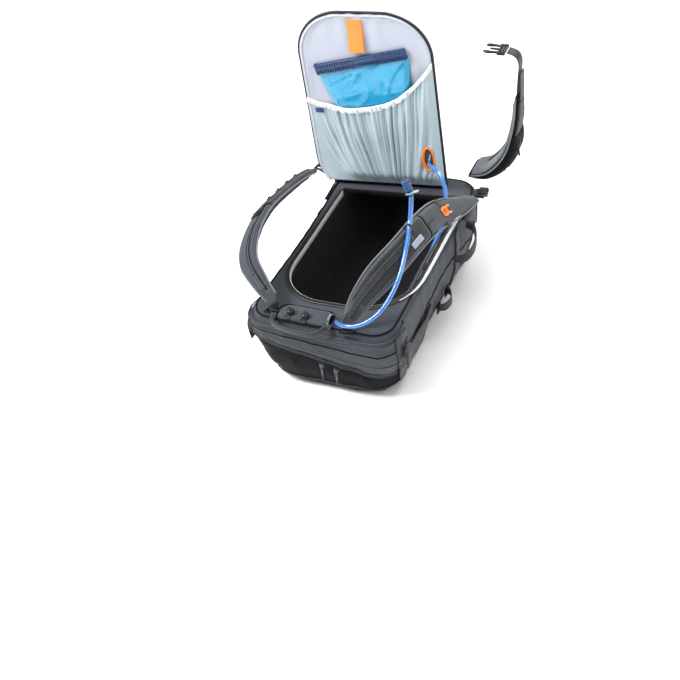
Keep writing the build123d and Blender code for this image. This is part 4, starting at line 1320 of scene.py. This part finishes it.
def fin(name, points, face, body, node):
    """A hip fin: light inner face with a pocket slit, dark outer face, bound edges."""
    stations = [(x, 302, z, 0, 1, 0, w, 14) for x, z, w in points]
    inner = Ribbon(stations, face, 14)
    pad = pad_from(name, stations, face, 14, INK, body, [node], power=5)
    tree = surface_of(pad)
    overlay(name + "_face", inner, tree, 0.04, 0.97, -0.93, 0.93, 0.7, GREY_SOFT, body,
            rows=50, columns=18)
    rows, columns = 44, 24
    puff = []
    for i in range(rows):
        for j in range(columns):
            s, x = 0.05 + 0.60 * i / (rows - 1), -0.97 + 1.94 * j / (columns - 1)
            room = math.sin(math.pi * i / (rows - 1)) ** 0.55 * (1 - (2 * j / (columns - 1) - 1) ** 6) ** 0.6
            puff.append(inner.at(s, x, 0.8 + 15 * room + 1.6 * room * noise.noise(Vector((s * 9, x * 3,
                    5))), -1))
    pouch = make(name + "_outer", puff, grid_faces(rows, columns), INK, body)
    thicken(pouch, 1.4, offset=0)
    overlay(name + "_outer_mesh", inner, tree, 0.64, 0.95, -0.8, 0.8, 0.8, MESH, body, rows=20,
            side=-1)
    slit = lay_on(tree, [inner.at(s, -0.25 + 0.5 * math.sin(3 * s), 1) for s in np.linspace(0.18, 0.72,
            60)], 1.6)
    tube(name + "_slit", slit, 1.3, COIL, body, sides=8)
    lip = lay_on(tree, [inner.at(s, -0.12 + 0.5 * math.sin(3 * s), 1) for s in np.linspace(0.18, 0.72, 60)],
                 1.4)
    tube(name + "_slit_lip", lip, 1.7, GREY_SOFT, body, sides=8)
    pouch_tree = surface_of(pouch)
    zip_line = lay_on(pouch_tree, inner.line(0.12, 0.60, -0.30, -0.30, 16, 60, side=-1), 0.9)
    tube(name + "_outer_zip", zip_line, 2.2, COIL, body, sides=8)
    for x in (-1, 1):
        edge_binding(f"{name}_binding_{'near' if x < 0 else 'far'}", inner, x, GREY_SOFT, body,
                     0.03, 0.99)
    rows = [lay_on(tree, inner.line(0.06, 0.96, x, x, 1, 60), 1.3) for x in (-0.86, 0.86)]
    rows += [lay_on(pouch_tree, inner.line(0.10, 0.60, x, x, 14, 60, side=-1), 0.7) for x in (-0.46, -0.14,
            0.80)]
    stitches(name + "_stitching", rows, THREAD, body)
    return inner, tree


def fins():
    fin("right_fin", RIGHT_FIN, (-1, 0, 0.6), "right_fin", "right_fin_pad")
    fin("left_fin", LEFT_FIN, (1, 0, 0.3), "left_fin", "left_fin_pad")
    web = [(250, 302, 352), (257, 302, 413), (262, 302, 455), (266, 302, 490), (259, 302, 508),
           (241, 302, 515)]
    band("right_hip_web", [(*p, 0, 1, 0, 25, 2.6) for p in web], oval(20, 6), WEB, "right_fin",
         rings=60,
         replaces=["right_hip_webbing"])
    fold = [(268, 302, 468), (266, 302, 430), (264, 302, 400)]
    band("right_hip_web_tail", [(*p, 0, 1, 0, 25, 2.4) for p in fold], oval(20, 6), WEB, "right_fin",
         rings=30)
    web = [(-188, 302, 352), (-183.5, 302, 411), (-178, 302, 440), (-160, 302, 468)]
    band("left_hip_web", [(*p, 0, 1, 0, 25, 2.6) for p in web], oval(20, 6), WEB, "left_fin",
         rings=40,
         replaces=["left_hip_webbing"])
    side_release_buckle("left_buckle_body", (-148, 302, 487), (0.56, 0, 0.83), (0, 1, 0), (0.83, 0, -0.56),
                        "left_fin",
                        ["left_buckle"], size=1.35)
    body = "hip_buckle"
    places = [((229, 302, 515), (3.0, 0, 0), (0, 17, 0), (0, 0, 4.0)),
              ((236, 302, 515), (1.6, 0, 0), (0, 17, 0), (0, 0, 4.4)),
              ((223, 302, 515), (1.6, 0, 0), (0, 17, 0), (0, 0, 3.6)),
              ((229, 287, 515), (9, 0, 0), (0, 2.2, 0), (0, 0, 4.2)),
              ((229, 317, 515), (9, 0, 0), (0, 2.2, 0), (0, 0, 4.2)),
              ((212, 302, 515), (11, 0, 0), (0, 1.6, 0), (0, 0, 2.4))]
    boxes("hip_buckle_body", places, PLASTIC, body, ["right_buckle"], bevel=1.2)
    for side in (-1, 1):
        prong = [(223, 302 + side * 12.5, 515), (212, 302 + side * 13.2, 515), (202, 302 + side * 13.6, 515),
                 (194, 302 + side * 12.6, 515), (189.5, 302 + side * 10.8, 515)]
        tube(f"hip_buckle_prong_{side + 1}", spline_path(prong, 30), np.interp(np.linspace(0, 1, 30),
             [0, 0.3, 0.7, 0.9, 1], [3.0, 2.8, 3.6, 3.4, 1.6]), PLASTIC, body, sides=12)
    low, high = (np.array(corner[:]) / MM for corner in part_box("fin_zip_slider"))
    middle = (low + high) / 2
    along = np.array([0.289, 0, 0.957])
    out = np.array([0.957, 0, -0.289])
    boxes("fin_slider_body", [(middle, along * 5, np.array([0, 4.0, 0]), out * 1.0),
                              (middle + out * 2.0, along * 4, np.array([0, 3.0, 0]), out * 0.8)], METAL,
                              "fin_slider",
          ["fin_zip_slider"], bevel=0.5)
    for strand in (0, math.pi):
        twist = [middle + out * (3.2 + 5 * s + 0.8 * math.cos(strand + 9 * s)) + np.array([0,
                -2 - 6 * s + 0.8 * math.sin(strand + 9 * s), -20 * s])
                 for s in np.linspace(0, 1, 40)]
        tube(f"fin_slider_cord_{int(strand)}", twist, 0.9, COIL, "fin_slider", sides=7)
    grip = [middle + out * (8.2 + 3 * s) + np.array([0, -8 - 4 * s, -20 - 15 * s]) for s in np.linspace(0,
            1, 12)]
    tube("fin_slider_grip", grip, [1.2, 2.1, 2.4, 2.2, 2.4, 2.2, 2.4, 2.2, 2.4, 2.3, 2.0, 1.1], PLASTIC,
         "fin_slider",
         sides=12)


fins()


# ------------------------------------------------------------------ back panel
def panel_half(w, inset):
    half, top, corner = 150 - inset, 440 - inset, 105 - inset
    if w <= top - corner:
        return half
    return half - corner + math.sqrt(max(0, corner ** 2 - (w - top + corner) ** 2))


def panel_rows(inset, rows, low=6):
    top = 440 - inset
    return [low + (top - low) * (1 - (1 - k / (rows - 1)) ** 1.7) for k in range(rows)]


def panel_edge(inset, lift, low=6):
    """The panel's edge line, up one side, over the top and down the other."""
    half, top, corner = 150 - inset, 440 - inset, 105 - inset
    edge = [(half, w) for w in np.linspace(low, top - corner, 60)]
    edge += [(half - corner + corner * math.cos(t), top - corner + corner * math.sin(t))
             for t in np.linspace(0, math.pi / 2, 40)[1:]]
    edge += [(u, top) for u in np.linspace(half - corner, corner - half, 26)[1:]]
    edge += [(corner - half - corner * math.sin(t), top - corner + corner * math.cos(t))
             for t in np.linspace(0, math.pi / 2, 40)[1:]]
    edge += [(-half, w) for w in np.linspace(top - corner, low, 60)[1:]]
    return [on_panel(u, w, lift) for u, w in edge]


def panel_cloth(name, inset, lift, material, replaces=(), rows=70, columns=90, thick=1.2, low=6):
    """A cloth over the panel's outline; lift gives its height from across and up."""
    verts = []
    for w in panel_rows(inset, rows, low):
        half = panel_half(w, inset)
        for j in range(columns):
            u = half * (2 * j / (columns - 1) - 1)
            verts.append(on_panel(u, w, lift(u, w)))
    piece = make(name, verts, grid_faces(rows, columns), material, "back_panel", replaces)
    return thicken(piece, thick, offset=0)


def mouth(u):
    """The pocket's curved mouth: how far up the panel it runs."""
    return float(np.interp(u, [-148, -120, -84, -40, 0, 35, 64, 105, 148],
                           [226, 215, 209, 209, 215, 225, 239, 275, 326]))


def pocket_lift(u, w):
    """How far the pouch stands inwards off the panel, without its pleats."""
    body = smooth(-104, -48, u) * (1 - smooth(134, 146, u)) * smooth(4, 46, w)
    return float(1.6 + 16.5 * body * (1 - 0.28 * smooth(-80, 0, w - mouth(u))))


def pleats(u, w):
    """Folds gathered at the mouth that run down and draw together towards the foot."""
    s = max(0.0, 1 - w / mouth(u))
    draw = 0.50 * s ** 1.6
    q = (u - 34 * draw) / (1 - draw)
    n1 = noise.noise(Vector((q * 0.031, s * 1.3, 2.0)))
    n2 = noise.noise(Vector((q * 0.017, s * 0.9, 9.0)))
    fine = math.sin(q * 2 * math.pi / 10.5 + 5.0 * n1)
    wide = math.sin(q * 2 * math.pi / 24 + 6.0 * n2 + 0.8 * s)
    third = math.sin(q * 2 * math.pi / 15 + 4.0 * n2 - 1.5 * s)
    room = smooth(-128, -96, u) * (1 - smooth(118, 138, u))
    fine = math.copysign(abs(fine) ** 0.8, fine) * 1.9 * (1 - s) ** 1.4
    wide = math.copysign(abs(wide) ** 0.7, wide) * 3.1 * (0.25 + 0.75 * (1 - s) ** 0.6) * smooth(0, 0.05,
            s + 0.03)
    third = third * 1.8 * (1 - abs(2 * s - 0.8)) * (s < 0.9)
    return float(room * (fine + wide + max(-1.5, third)) * smooth(0.0, 24, w))


def flatten_when_closed(piece):
    """Gives a soft piece on the panel's inside its own copy of its mesh data."""
    tuple(on_panel(0, 200, 0) * MM)
    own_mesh(piece)


def pocket_cloth():
    rows, columns = 72, 240
    verts = []
    for i in range(rows):
        s = (i / (rows - 1)) ** 1.15
        for j in range(columns):
            u = 146 * (2 * j / (columns - 1) - 1)
            w = mouth(u) * (1 - s) + 7 * s
            lift = pocket_lift(u, w) + pleats(u, w)
            verts.append(on_panel(u, w, min(23, max(0.8, lift))))
    pocket = make("gathered_pocket", verts, grid_faces(rows, columns), LINING, "back_panel",
                  ["sleeve_pocket"])
    thicken(pocket, 0.9, offset=0)
    columns = 200
    verts = []
    for down, lift in ((-1.5, 0.0), (-1.5, 1.8), (2, 2.6), (6, 2.7), (10, 2.3), (11.5, 1.0)):
        for j in range(columns):
            u = 146.5 * (2 * j / (columns - 1) - 1)
            ripple = 0.55 * math.sin(u * 2 * math.pi / 9 + 2 * noise.noise(Vector((u * 0.05, 0, 0))))
            w = mouth(u) - down
            verts.append(on_panel(u, w, pocket_lift(u, w) + lift + ripple + 0.6 * pleats(u, w) * (down > 8)))
    hem = make("pocket_hem", verts, grid_faces(6, columns), ELASTIC, "back_panel")
    thicken(hem, 0.9, offset=0)
    pocket_hem_stitch = [[on_panel(u, mouth(u) - 9.4,
                                   pocket_lift(u, mouth(u)) + 3.2) for u in np.linspace(-142, 142, 160)]]
    hem_stitching = stitches("hem_stitching", pocket_hem_stitch, PALE_THREAD, "back_panel",
                             radius=0.35)
    centre = on_panel(-121, 196, 4.4)
    tag = boxes("blank_tag", [(centre, PANEL_X * 9.5, PANEL_IN * 0.5, UP * 5.5 + PANEL_X * -0.4)], TAG_NAVY,
                "back_panel",
                bevel=0.3)
    for piece in (pocket, hem, hem_stitching, tag):
        flatten_when_closed(piece)


def reservoir():
    """The film bag: a welded border and a soft, shiny, filled middle with tension folds from its bar."""
    rows, columns = 56, 60
    sides = ([36, 190, 216, 285, 312], [-52, -60, -84, -106, -112], [92, 94, 95, 97, 98])
    front, back = [], []
    for i in range(rows):
        share = i / (rows - 1)
        for j in range(columns):
            x = j / (columns - 1)
            guess = 36 + share * 270
            left, right = np.interp(guess, sides[0], sides[1]), np.interp(guess, sides[0], sides[2])
            u = left + (right - left) * x
            w = 36 + share * (314 + 0.226 * (u + 10) - 36)
            rim = min(1, min(x, 1 - x) * 14) * min(1, share * 16)
            fill = rim ** 0.6 * (1 - 0.62 * smooth(0.72, 1.0, share)) * (0.35 + 0.65 * smooth(150, 235, w))
            fold = noise.noise(Vector((u * 0.022 + w * 0.012, w * 0.006 - u * 0.01, 4))) * 4.0
            crease = (1 - abs(noise.noise(Vector((u * 0.018 - w * 0.02, w * 0.012, 8))))) ** 8 * 3.0
            front.append(on_panel(u, w, 1.6 + 9.2 * fill + (fold + crease - 1) * min(1,
                    rim) * (0.2 + 0.6 * smooth(170, 230, w))))
            back.append(on_panel(u, w, 0.5))
    count = rows * columns
    faces = grid_faces(rows, columns) + [tuple(count + v for v in reversed(f)) for f in grid_faces(rows,
            columns)]
    ring = ([j for j in range(columns)] + [i * columns + columns - 1 for i in range(1, rows)]
            + [(rows - 1) * columns + j for j in range(columns - 2, -1, -1)]
            + [i * columns for i in range(rows - 2, 0, -1)])
    for a, b in zip(ring, ring[1:] + ring[:1]):
        faces.append((a, count + a, count + b, b))
    piece = make("reservoir_bag", front + back, faces, FILM, "back_panel", ["reservoir"])
    flatten_when_closed(piece)
    along = PANEL_X * math.cos(math.radians(12.8)) + UP * math.sin(math.radians(12.8))
    rise = UP * math.cos(math.radians(12.8)) - PANEL_X * math.sin(math.radians(12.8))
    centre = on_panel(-10, 324, 5)
    places = [(centre, along * 106, rise * 11.6, PANEL_IN * 3.0),
              (centre + PANEL_IN * 3.4, along * 104, rise * 2.2, PANEL_IN * 0.8),
              (centre + rise * 10.4, along * 106, rise * 1.5, PANEL_IN * 4.2),
              (centre - rise * 10.4, along * 106, rise * 1.5, PANEL_IN * 4.2)]
    for k in range(-17, 18):
        if abs(k) > 5 or k < -2:
            places.append((centre + along * k * 6.0 + PANEL_IN * 3.4, along * 1.5 + rise * 0.5,
                           rise * 9.6 + along * 1.6,
                           PANEL_IN * 1.3))
    boxes("ribbed_bar", places, NAVY_BAR, "closure", ["closure_bar"], bevel=0.7)
    boxes("bar_end_stop", [(centre - along * 104, along * 2.4, rise * 13, PANEL_IN * 4.4)], NAVY_BAR,
          "closure",
          bevel=1.0)


def hanger():
    verts = []
    for i in range(30):
        share = i / 29
        w = 423 - 77 * share
        rise = 1.2 + 5.5 * share ** 2
        for j in range(10):
            x = j / 9 * 2 - 1
            verts.append(on_panel(-13 + x * 17 + 0.6 * math.sin(share * 5), w,
                                  rise + 0.6 * math.cos(x * 2.2)))
    strap = make("orange_hanger", verts, grid_faces(30, 10), ORANGE_CLOTH, "back_panel",
                 ["hanger_strap"])
    thicken(strap, 1.6, offset=0)
    rows = [[on_panel(-13 + x, w, 2.6 + 5.5 * ((423 - w) / 77) ** 2) for w in np.linspace(420, 349,
            40)] for x in (-15, 15)]
    rows.append([on_panel(x, 352, 8.2) for x in np.linspace(-28, 2, 20)])
    stitches("hanger_stitching", rows, ORANGE_CLOTH, "back_panel")


def tube_port():
    """The stitched oval that the hose leaves the pouch by, with its orange trim."""
    ring, sizes = [], []
    for t in np.linspace(0, 2 * math.pi, 64, endpoint=False):
        ring.append(on_panel(120 + 12.0 * math.cos(t), 92 + 28.5 * math.sin(t), 20.6))
        sizes.append(2.0 + 1.6 * smooth(-0.6, 0.9, -math.cos(t) - 0.35 * math.sin(t)))
    tube("port_trim", ring, sizes, ORANGE, "back_panel", sides=12, closed=True,
         replaces=["tube_port_trim"])
    verts = [on_panel(120, 92, 19.2)]
    verts += [on_panel(120 + 12 * math.cos(t), 92 + 28 * math.sin(t), 20.0) for t in np.linspace(0,
            2 * math.pi, 48, endpoint=False)]
    patch = make("port_mesh", verts, [(0, k + 1, (k + 1) % 48 + 1) for k in range(48)], AIR_MESH,
                 "back_panel")
    thicken(patch, 0.8, offset=0)
    outer = [on_panel(120 + 17 * math.cos(t), 92 + 34 * math.sin(t), 20.2) for t in np.linspace(0,
            2 * math.pi, 90)]
    stitches("port_stitching", [outer], PALE_THREAD, "back_panel", radius=0.35)


def pillow(name, centre, half, corner, base, height, material, body, replaces, place, grooves=(),
           rings=16):
    """A crowned pad over a rounded rectangle; place turns across, up and lift into a point."""
    outline = rounded_at(half, corner)

    def crown(u, v, share):
        lift = height * (1 - share ** 5) ** 0.5
        for axis, at_place in grooves:
            lift -= height * 0.45 * math.exp(-(((u, v)[axis] - at_place) / 5.5) ** 2) * (1 - share ** 6)
        return place(centre[0] + u, centre[1] + v, base + lift)

    verts = [crown(0, 0, 0)]
    faces = []
    for k in range(1, rings + 1):
        share = k / rings
        verts += [crown(x * share, y * share, share) for x, y in outline]
    n = len(outline)
    faces += [(0, 1 + j, 1 + (j + 1) % n) for j in range(n)]
    for k in range(rings - 1):
        faces += [(1 + k * n + j, 1 + (k + 1) * n + j, 1 + (k + 1) * n + (j + 1) % n,
                   1 + k * n + (j + 1) % n)
                  for j in range(n)]
    last = len(verts)
    verts.append(place(centre[0], centre[1], base - math.copysign(1.0, height)))
    faces += [(last, 1 + (rings - 1) * n + (j + 1) % n, 1 + (rings - 1) * n + j) for j in range(n)]
    return make(name, verts, faces, material, body, replaces)


def rounded_at(half, corner):
    """A rounded rectangle about the middle, with points along its straight sides too."""
    points = rounded(half[0], -half[1], half[1], corner, 10)
    closed = np.vstack([points, points[:1]])
    reach = np.concatenate([[0], np.cumsum(np.linalg.norm(np.diff(closed, axis=0), axis=1))])
    along = np.linspace(0, reach[-1], 100, endpoint=False)
    return np.column_stack([np.interp(along, reach, closed[:, 0]), np.interp(along, reach, closed[:, 1])])


def back_panel():
    def wrinkle(u, w):
        pull = math.exp(-((u + 13) / 60) ** 2) * math.sin((u + 13) * 0.16) * smooth(330, 420, w) * 1.3
        edge = smooth(26, 2, panel_half(w, 5) - abs(u)) * 2.2 + smooth(26, 2, 435 - w) * 2.0
        return -1.2 + pull + 0.9 * noise.noise(Vector((u * 0.02, w * 0.013, 3))) + min(2.2, edge)
    lining = panel_cloth("panel_lining_cloth", 5, wrinkle, LAVENDER,
                         ["flap_lining", "flap_frame_sheet"])
    lining.data.materials.append(LINING)
    for polygon in lining.data.polygons:
        if polygon.center.z / MM - HINGE[2] < 212:
            polygon.material_index = 1
    panel_cloth("flap_back", 4, lambda u, w: -6.0 + 0.7 * noise.noise(Vector((u * 0.03, w * 0.03, 6))), GREY,
                ["flap_shell"], thick=1.6)
    edge = panel_edge(2.5, -3.2)
    tube("flap_zip_tape", edge, 2.7, COIL, "back_panel", sides=10, replaces=["flap_zip_binding"])
    dense = spline_path(panel_edge(0.6, -3.0), 760)
    heading = directions(dense)
    boxes("flap_zip_teeth", [(p, h * 0.5, np.cross(h, PANEL_IN) * 1.0, PANEL_IN * 1.6) for p,
                             h in zip(dense, heading)],
          METAL, "back_panel")
    tube("flap_binding", panel_edge(9, 0.6), 2.6, LAVENDER, "back_panel", sides=10)
    stitches("flap_stitching", [panel_edge(13, 1.2), panel_edge(16, 0.8)], PALE_THREAD, "back_panel",
             radius=0.35)
    stitches("flap_back_stitching", [panel_edge(12, -7.4), panel_edge(16, -7.4)], THREAD, "back_panel")
    grooves = [(1, v) for v in (-78, -39, 0, 39, 78)]
    for side in (-1, 1):
        pad = pillow(f"back_pad_{side + 1}", (side * 68, 268), (45, 117), 40, -6.6, -14.5, AIR_MESH,
                     "back_panel",
                     ["back_pads"] if side > 0 else (), on_panel, grooves)
        inflate(pad, voxel=5, cap=5)
        rim = [on_panel(side * 68 + x, 268 + y, -7.8) for x, y in rounded_at((47, 119), 41)]
        tube(f"back_pad_piping_{side + 1}", rim, 2.2, GREY, "back_panel", sides=8,
             closed=True)
    pad = pillow("lumbar_cushion", (0, 95), (112, 42), 34, -6.6, -14.5, AIR_MESH, "back_panel",
                 ["lumbar_pad"],
                 on_panel, [(0, -56), (0, 0), (0, 56)])
    inflate(pad, voxel=5, cap=5)
    rim = [on_panel(x, 95 + y, -7.8) for x, y in rounded_at((114, 44), 35)]
    tube("lumbar_piping", rim, 2.2, GREY, "back_panel", sides=8, closed=True)


def hinge_cloth():
    """The fabric that joins the panel's foot to the back frame at the hinge, baked in place."""
    verts = []
    for up, inward in ((-4.0, -16), (-3.2, -10), (-3.0, -4), (-1.0, -1.5), (2.5, -1.8),
                                      (7, -2.4), (14, -2.6)):
        for u in np.linspace(-136, 136, 60):
            verts.append(on_panel(u, up, inward))
    cloth = make("hinge_gusset", verts, grid_faces(7, 60), INK, None, ["hinge_piping"])
    thicken(cloth, 1.4, offset=0)
    tuple(on_panel(0, -2.5, 0) * MM)
    tuple(on_panel(0, 6, 0) * MM)
    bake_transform(cloth)
    rows = [[on_panel(u, -1.9, -11) for u in np.linspace(-132, 132, 90)]]
    stitches("hinge_stitching", rows, THREAD, "root")


def top_hardware():
    """The haul loop, the helmet holder with its cord locks, and the hose's outlet tab."""
    loop = [(-98, -270, 192), (-88, -292, 192), (-62, -303, 192), (-20, -308, 192), (12, -302, 192),
            (26, -277, 192)]
    band("haul_strap", [(*p, 0, 0, 1, w, 5.5) for p, w in zip(loop, (10, 11, 12, 12, 11, 10))], oval(22, 4),
         WEB,
         "haul_handle", rings=60, replaces=["haul_loop"])
    boxes("haul_tacks", [((-100, -266, 187.2), (6, 2, 0), (-2.5, 8, 0), (0, 0, 1.6)),
                         ((28, -272, 187.2), (6, 1, 0), (-1.5, 8, 0), (0, 0, 1.6))], WEB, "root",
                         bevel=0.8)

    def flat(x, y, lift):
        return np.array([x, y, lift + 1.1 * noise.noise(Vector((x * 0.05, y * 0.06, 2)))])
    holder = pillow("helmet_cushion", (-36, -247), (62, 25), 18, 182.6, 6.5, GREY, "root",
                    ["helmet_holder"], flat, rings=18)
    inflate(holder, voxel=4, cap=3)
    rim = [flat(-36 + x, -247 + y, 183.6) for x, y in rounded_at((62, 25), 18)]
    piping = tube("helmet_piping", rim, 1.7, INK, "root", sides=8, closed=True)
    inner = [flat(-36 + x, -247 + y, 187.4) for x, y in rounded_at((54, 18), 14)]
    sewn = stitches("helmet_stitching", [inner], THREAD, "root")
    for piece in (holder, piping, sewn):
        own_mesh(piece)
    for number, (x, y) in enumerate(((-64, -254), (-28, -258))):
        axis = [(x, y, z) for z in (186, 189.8, 190.2, 191.2, 193, 194.2, 195.4, 198.5, 199.6, 201, 201.4,
                                    203.4, 204)]
        radii = [4, 4, 6.6, 7.8, 8.0, 7.3, 8.0, 8.0, 7.6, 6.4, 5.0, 4.8, 3.4]
        tube(f"cord_lock_{number}", axis, radii, PLASTIC, "root", sides=32,
             replaces=["cord_locks"] if number == 0 else ())
        elastic = [(x - 7, y - 6, 188.5), (x - 10, y - 10, 189.6), (x - 4, y - 15, 189.4),
                   (x + 3, y - 13, 189), (x + 1, y - 7, 188.5)]
        tube(f"cord_elastic_{number}", elastic, 1.5, WEB, "root", sides=8, smooth_count=36)
    tab = [(24, -234, 187), (24, -240, 195), (24, -250, 198), (24, -260, 195), (24, -266, 187)]
    band("outlet_tab", [(*p, 1, 0, 0, 5, 2.2) for p in tab], oval(18, 5), GREY_SOFT, "root",
         rings=30,
         replaces=["tube_outlet_tab"])
    boxes("outlet_web", [((24, -250, 189.5), (1.2, 0, 0), (0, 13.5, 0), (0, 0, 6.5))], INK, "root",
          bevel=1.0)


def bite_valve():
    """The valve at the hose's end: a ribbed barrel with a soft domed cap, and its clear shut-off ring."""
    base = np.array([157, -74, 397.0])
    axis = np.array([-0.38, 0.2, 0.9])
    axis /= np.linalg.norm(axis)
    along = [(0, 5.6), (2.4, 6.0), (2.6, 6.6), (12, 6.6), (12.2, 7.6), (13.4, 8.5), (19, 8.6), (19.6, 8.1),
             (20.4, 8.1),
             (21, 8.6), (23.4, 8.6), (24, 8.1), (24.8, 8.1), (25.4, 8.6), (31, 8.5), (33.6, 7.8),
             (35.2, 6.2), (36, 3.6)]
    tube("valve_barrel", [base + axis * a for a, _ in along], [r for _, r in along], VALVE_BLUE,
         "right_strap",
         sides=36, replaces=["bite_valve"])
    side = np.array([0.9, 0, 0.38])
    side -= axis * (side @ axis)
    side /= np.linalg.norm(side)
    other = np.cross(axis, side)
    ring = [base + axis * 7 + 8.0 * (math.cos(t) * side + math.sin(t) * other) for t in np.linspace(0,
            2 * math.pi, 48, endpoint=False)]
    tube("valve_ring", ring, 1.5, CLEAR, "valve_collar", sides=12, closed=True,
         replaces=["valve_lever"])
    tab = [base + axis * 7 + 13 * side + (7.0 * math.cos(t) * side + 3.8 * math.sin(t) * other)
           for t in np.linspace(0, 2 * math.pi, 36, endpoint=False)]
    tube("valve_tab", tab, 1.5, CLEAR, "valve_collar", sides=12, closed=True)


back_panel()
pocket_cloth()
reservoir()
hanger()
tube_port()
hinge_cloth()
top_hardware()
bite_valve()
drinking_hose()
for node, material in (("tube_keeper", WEB),):
    for slot_of in frame["nodes"][node].material_slots:
        slot_of.material = material
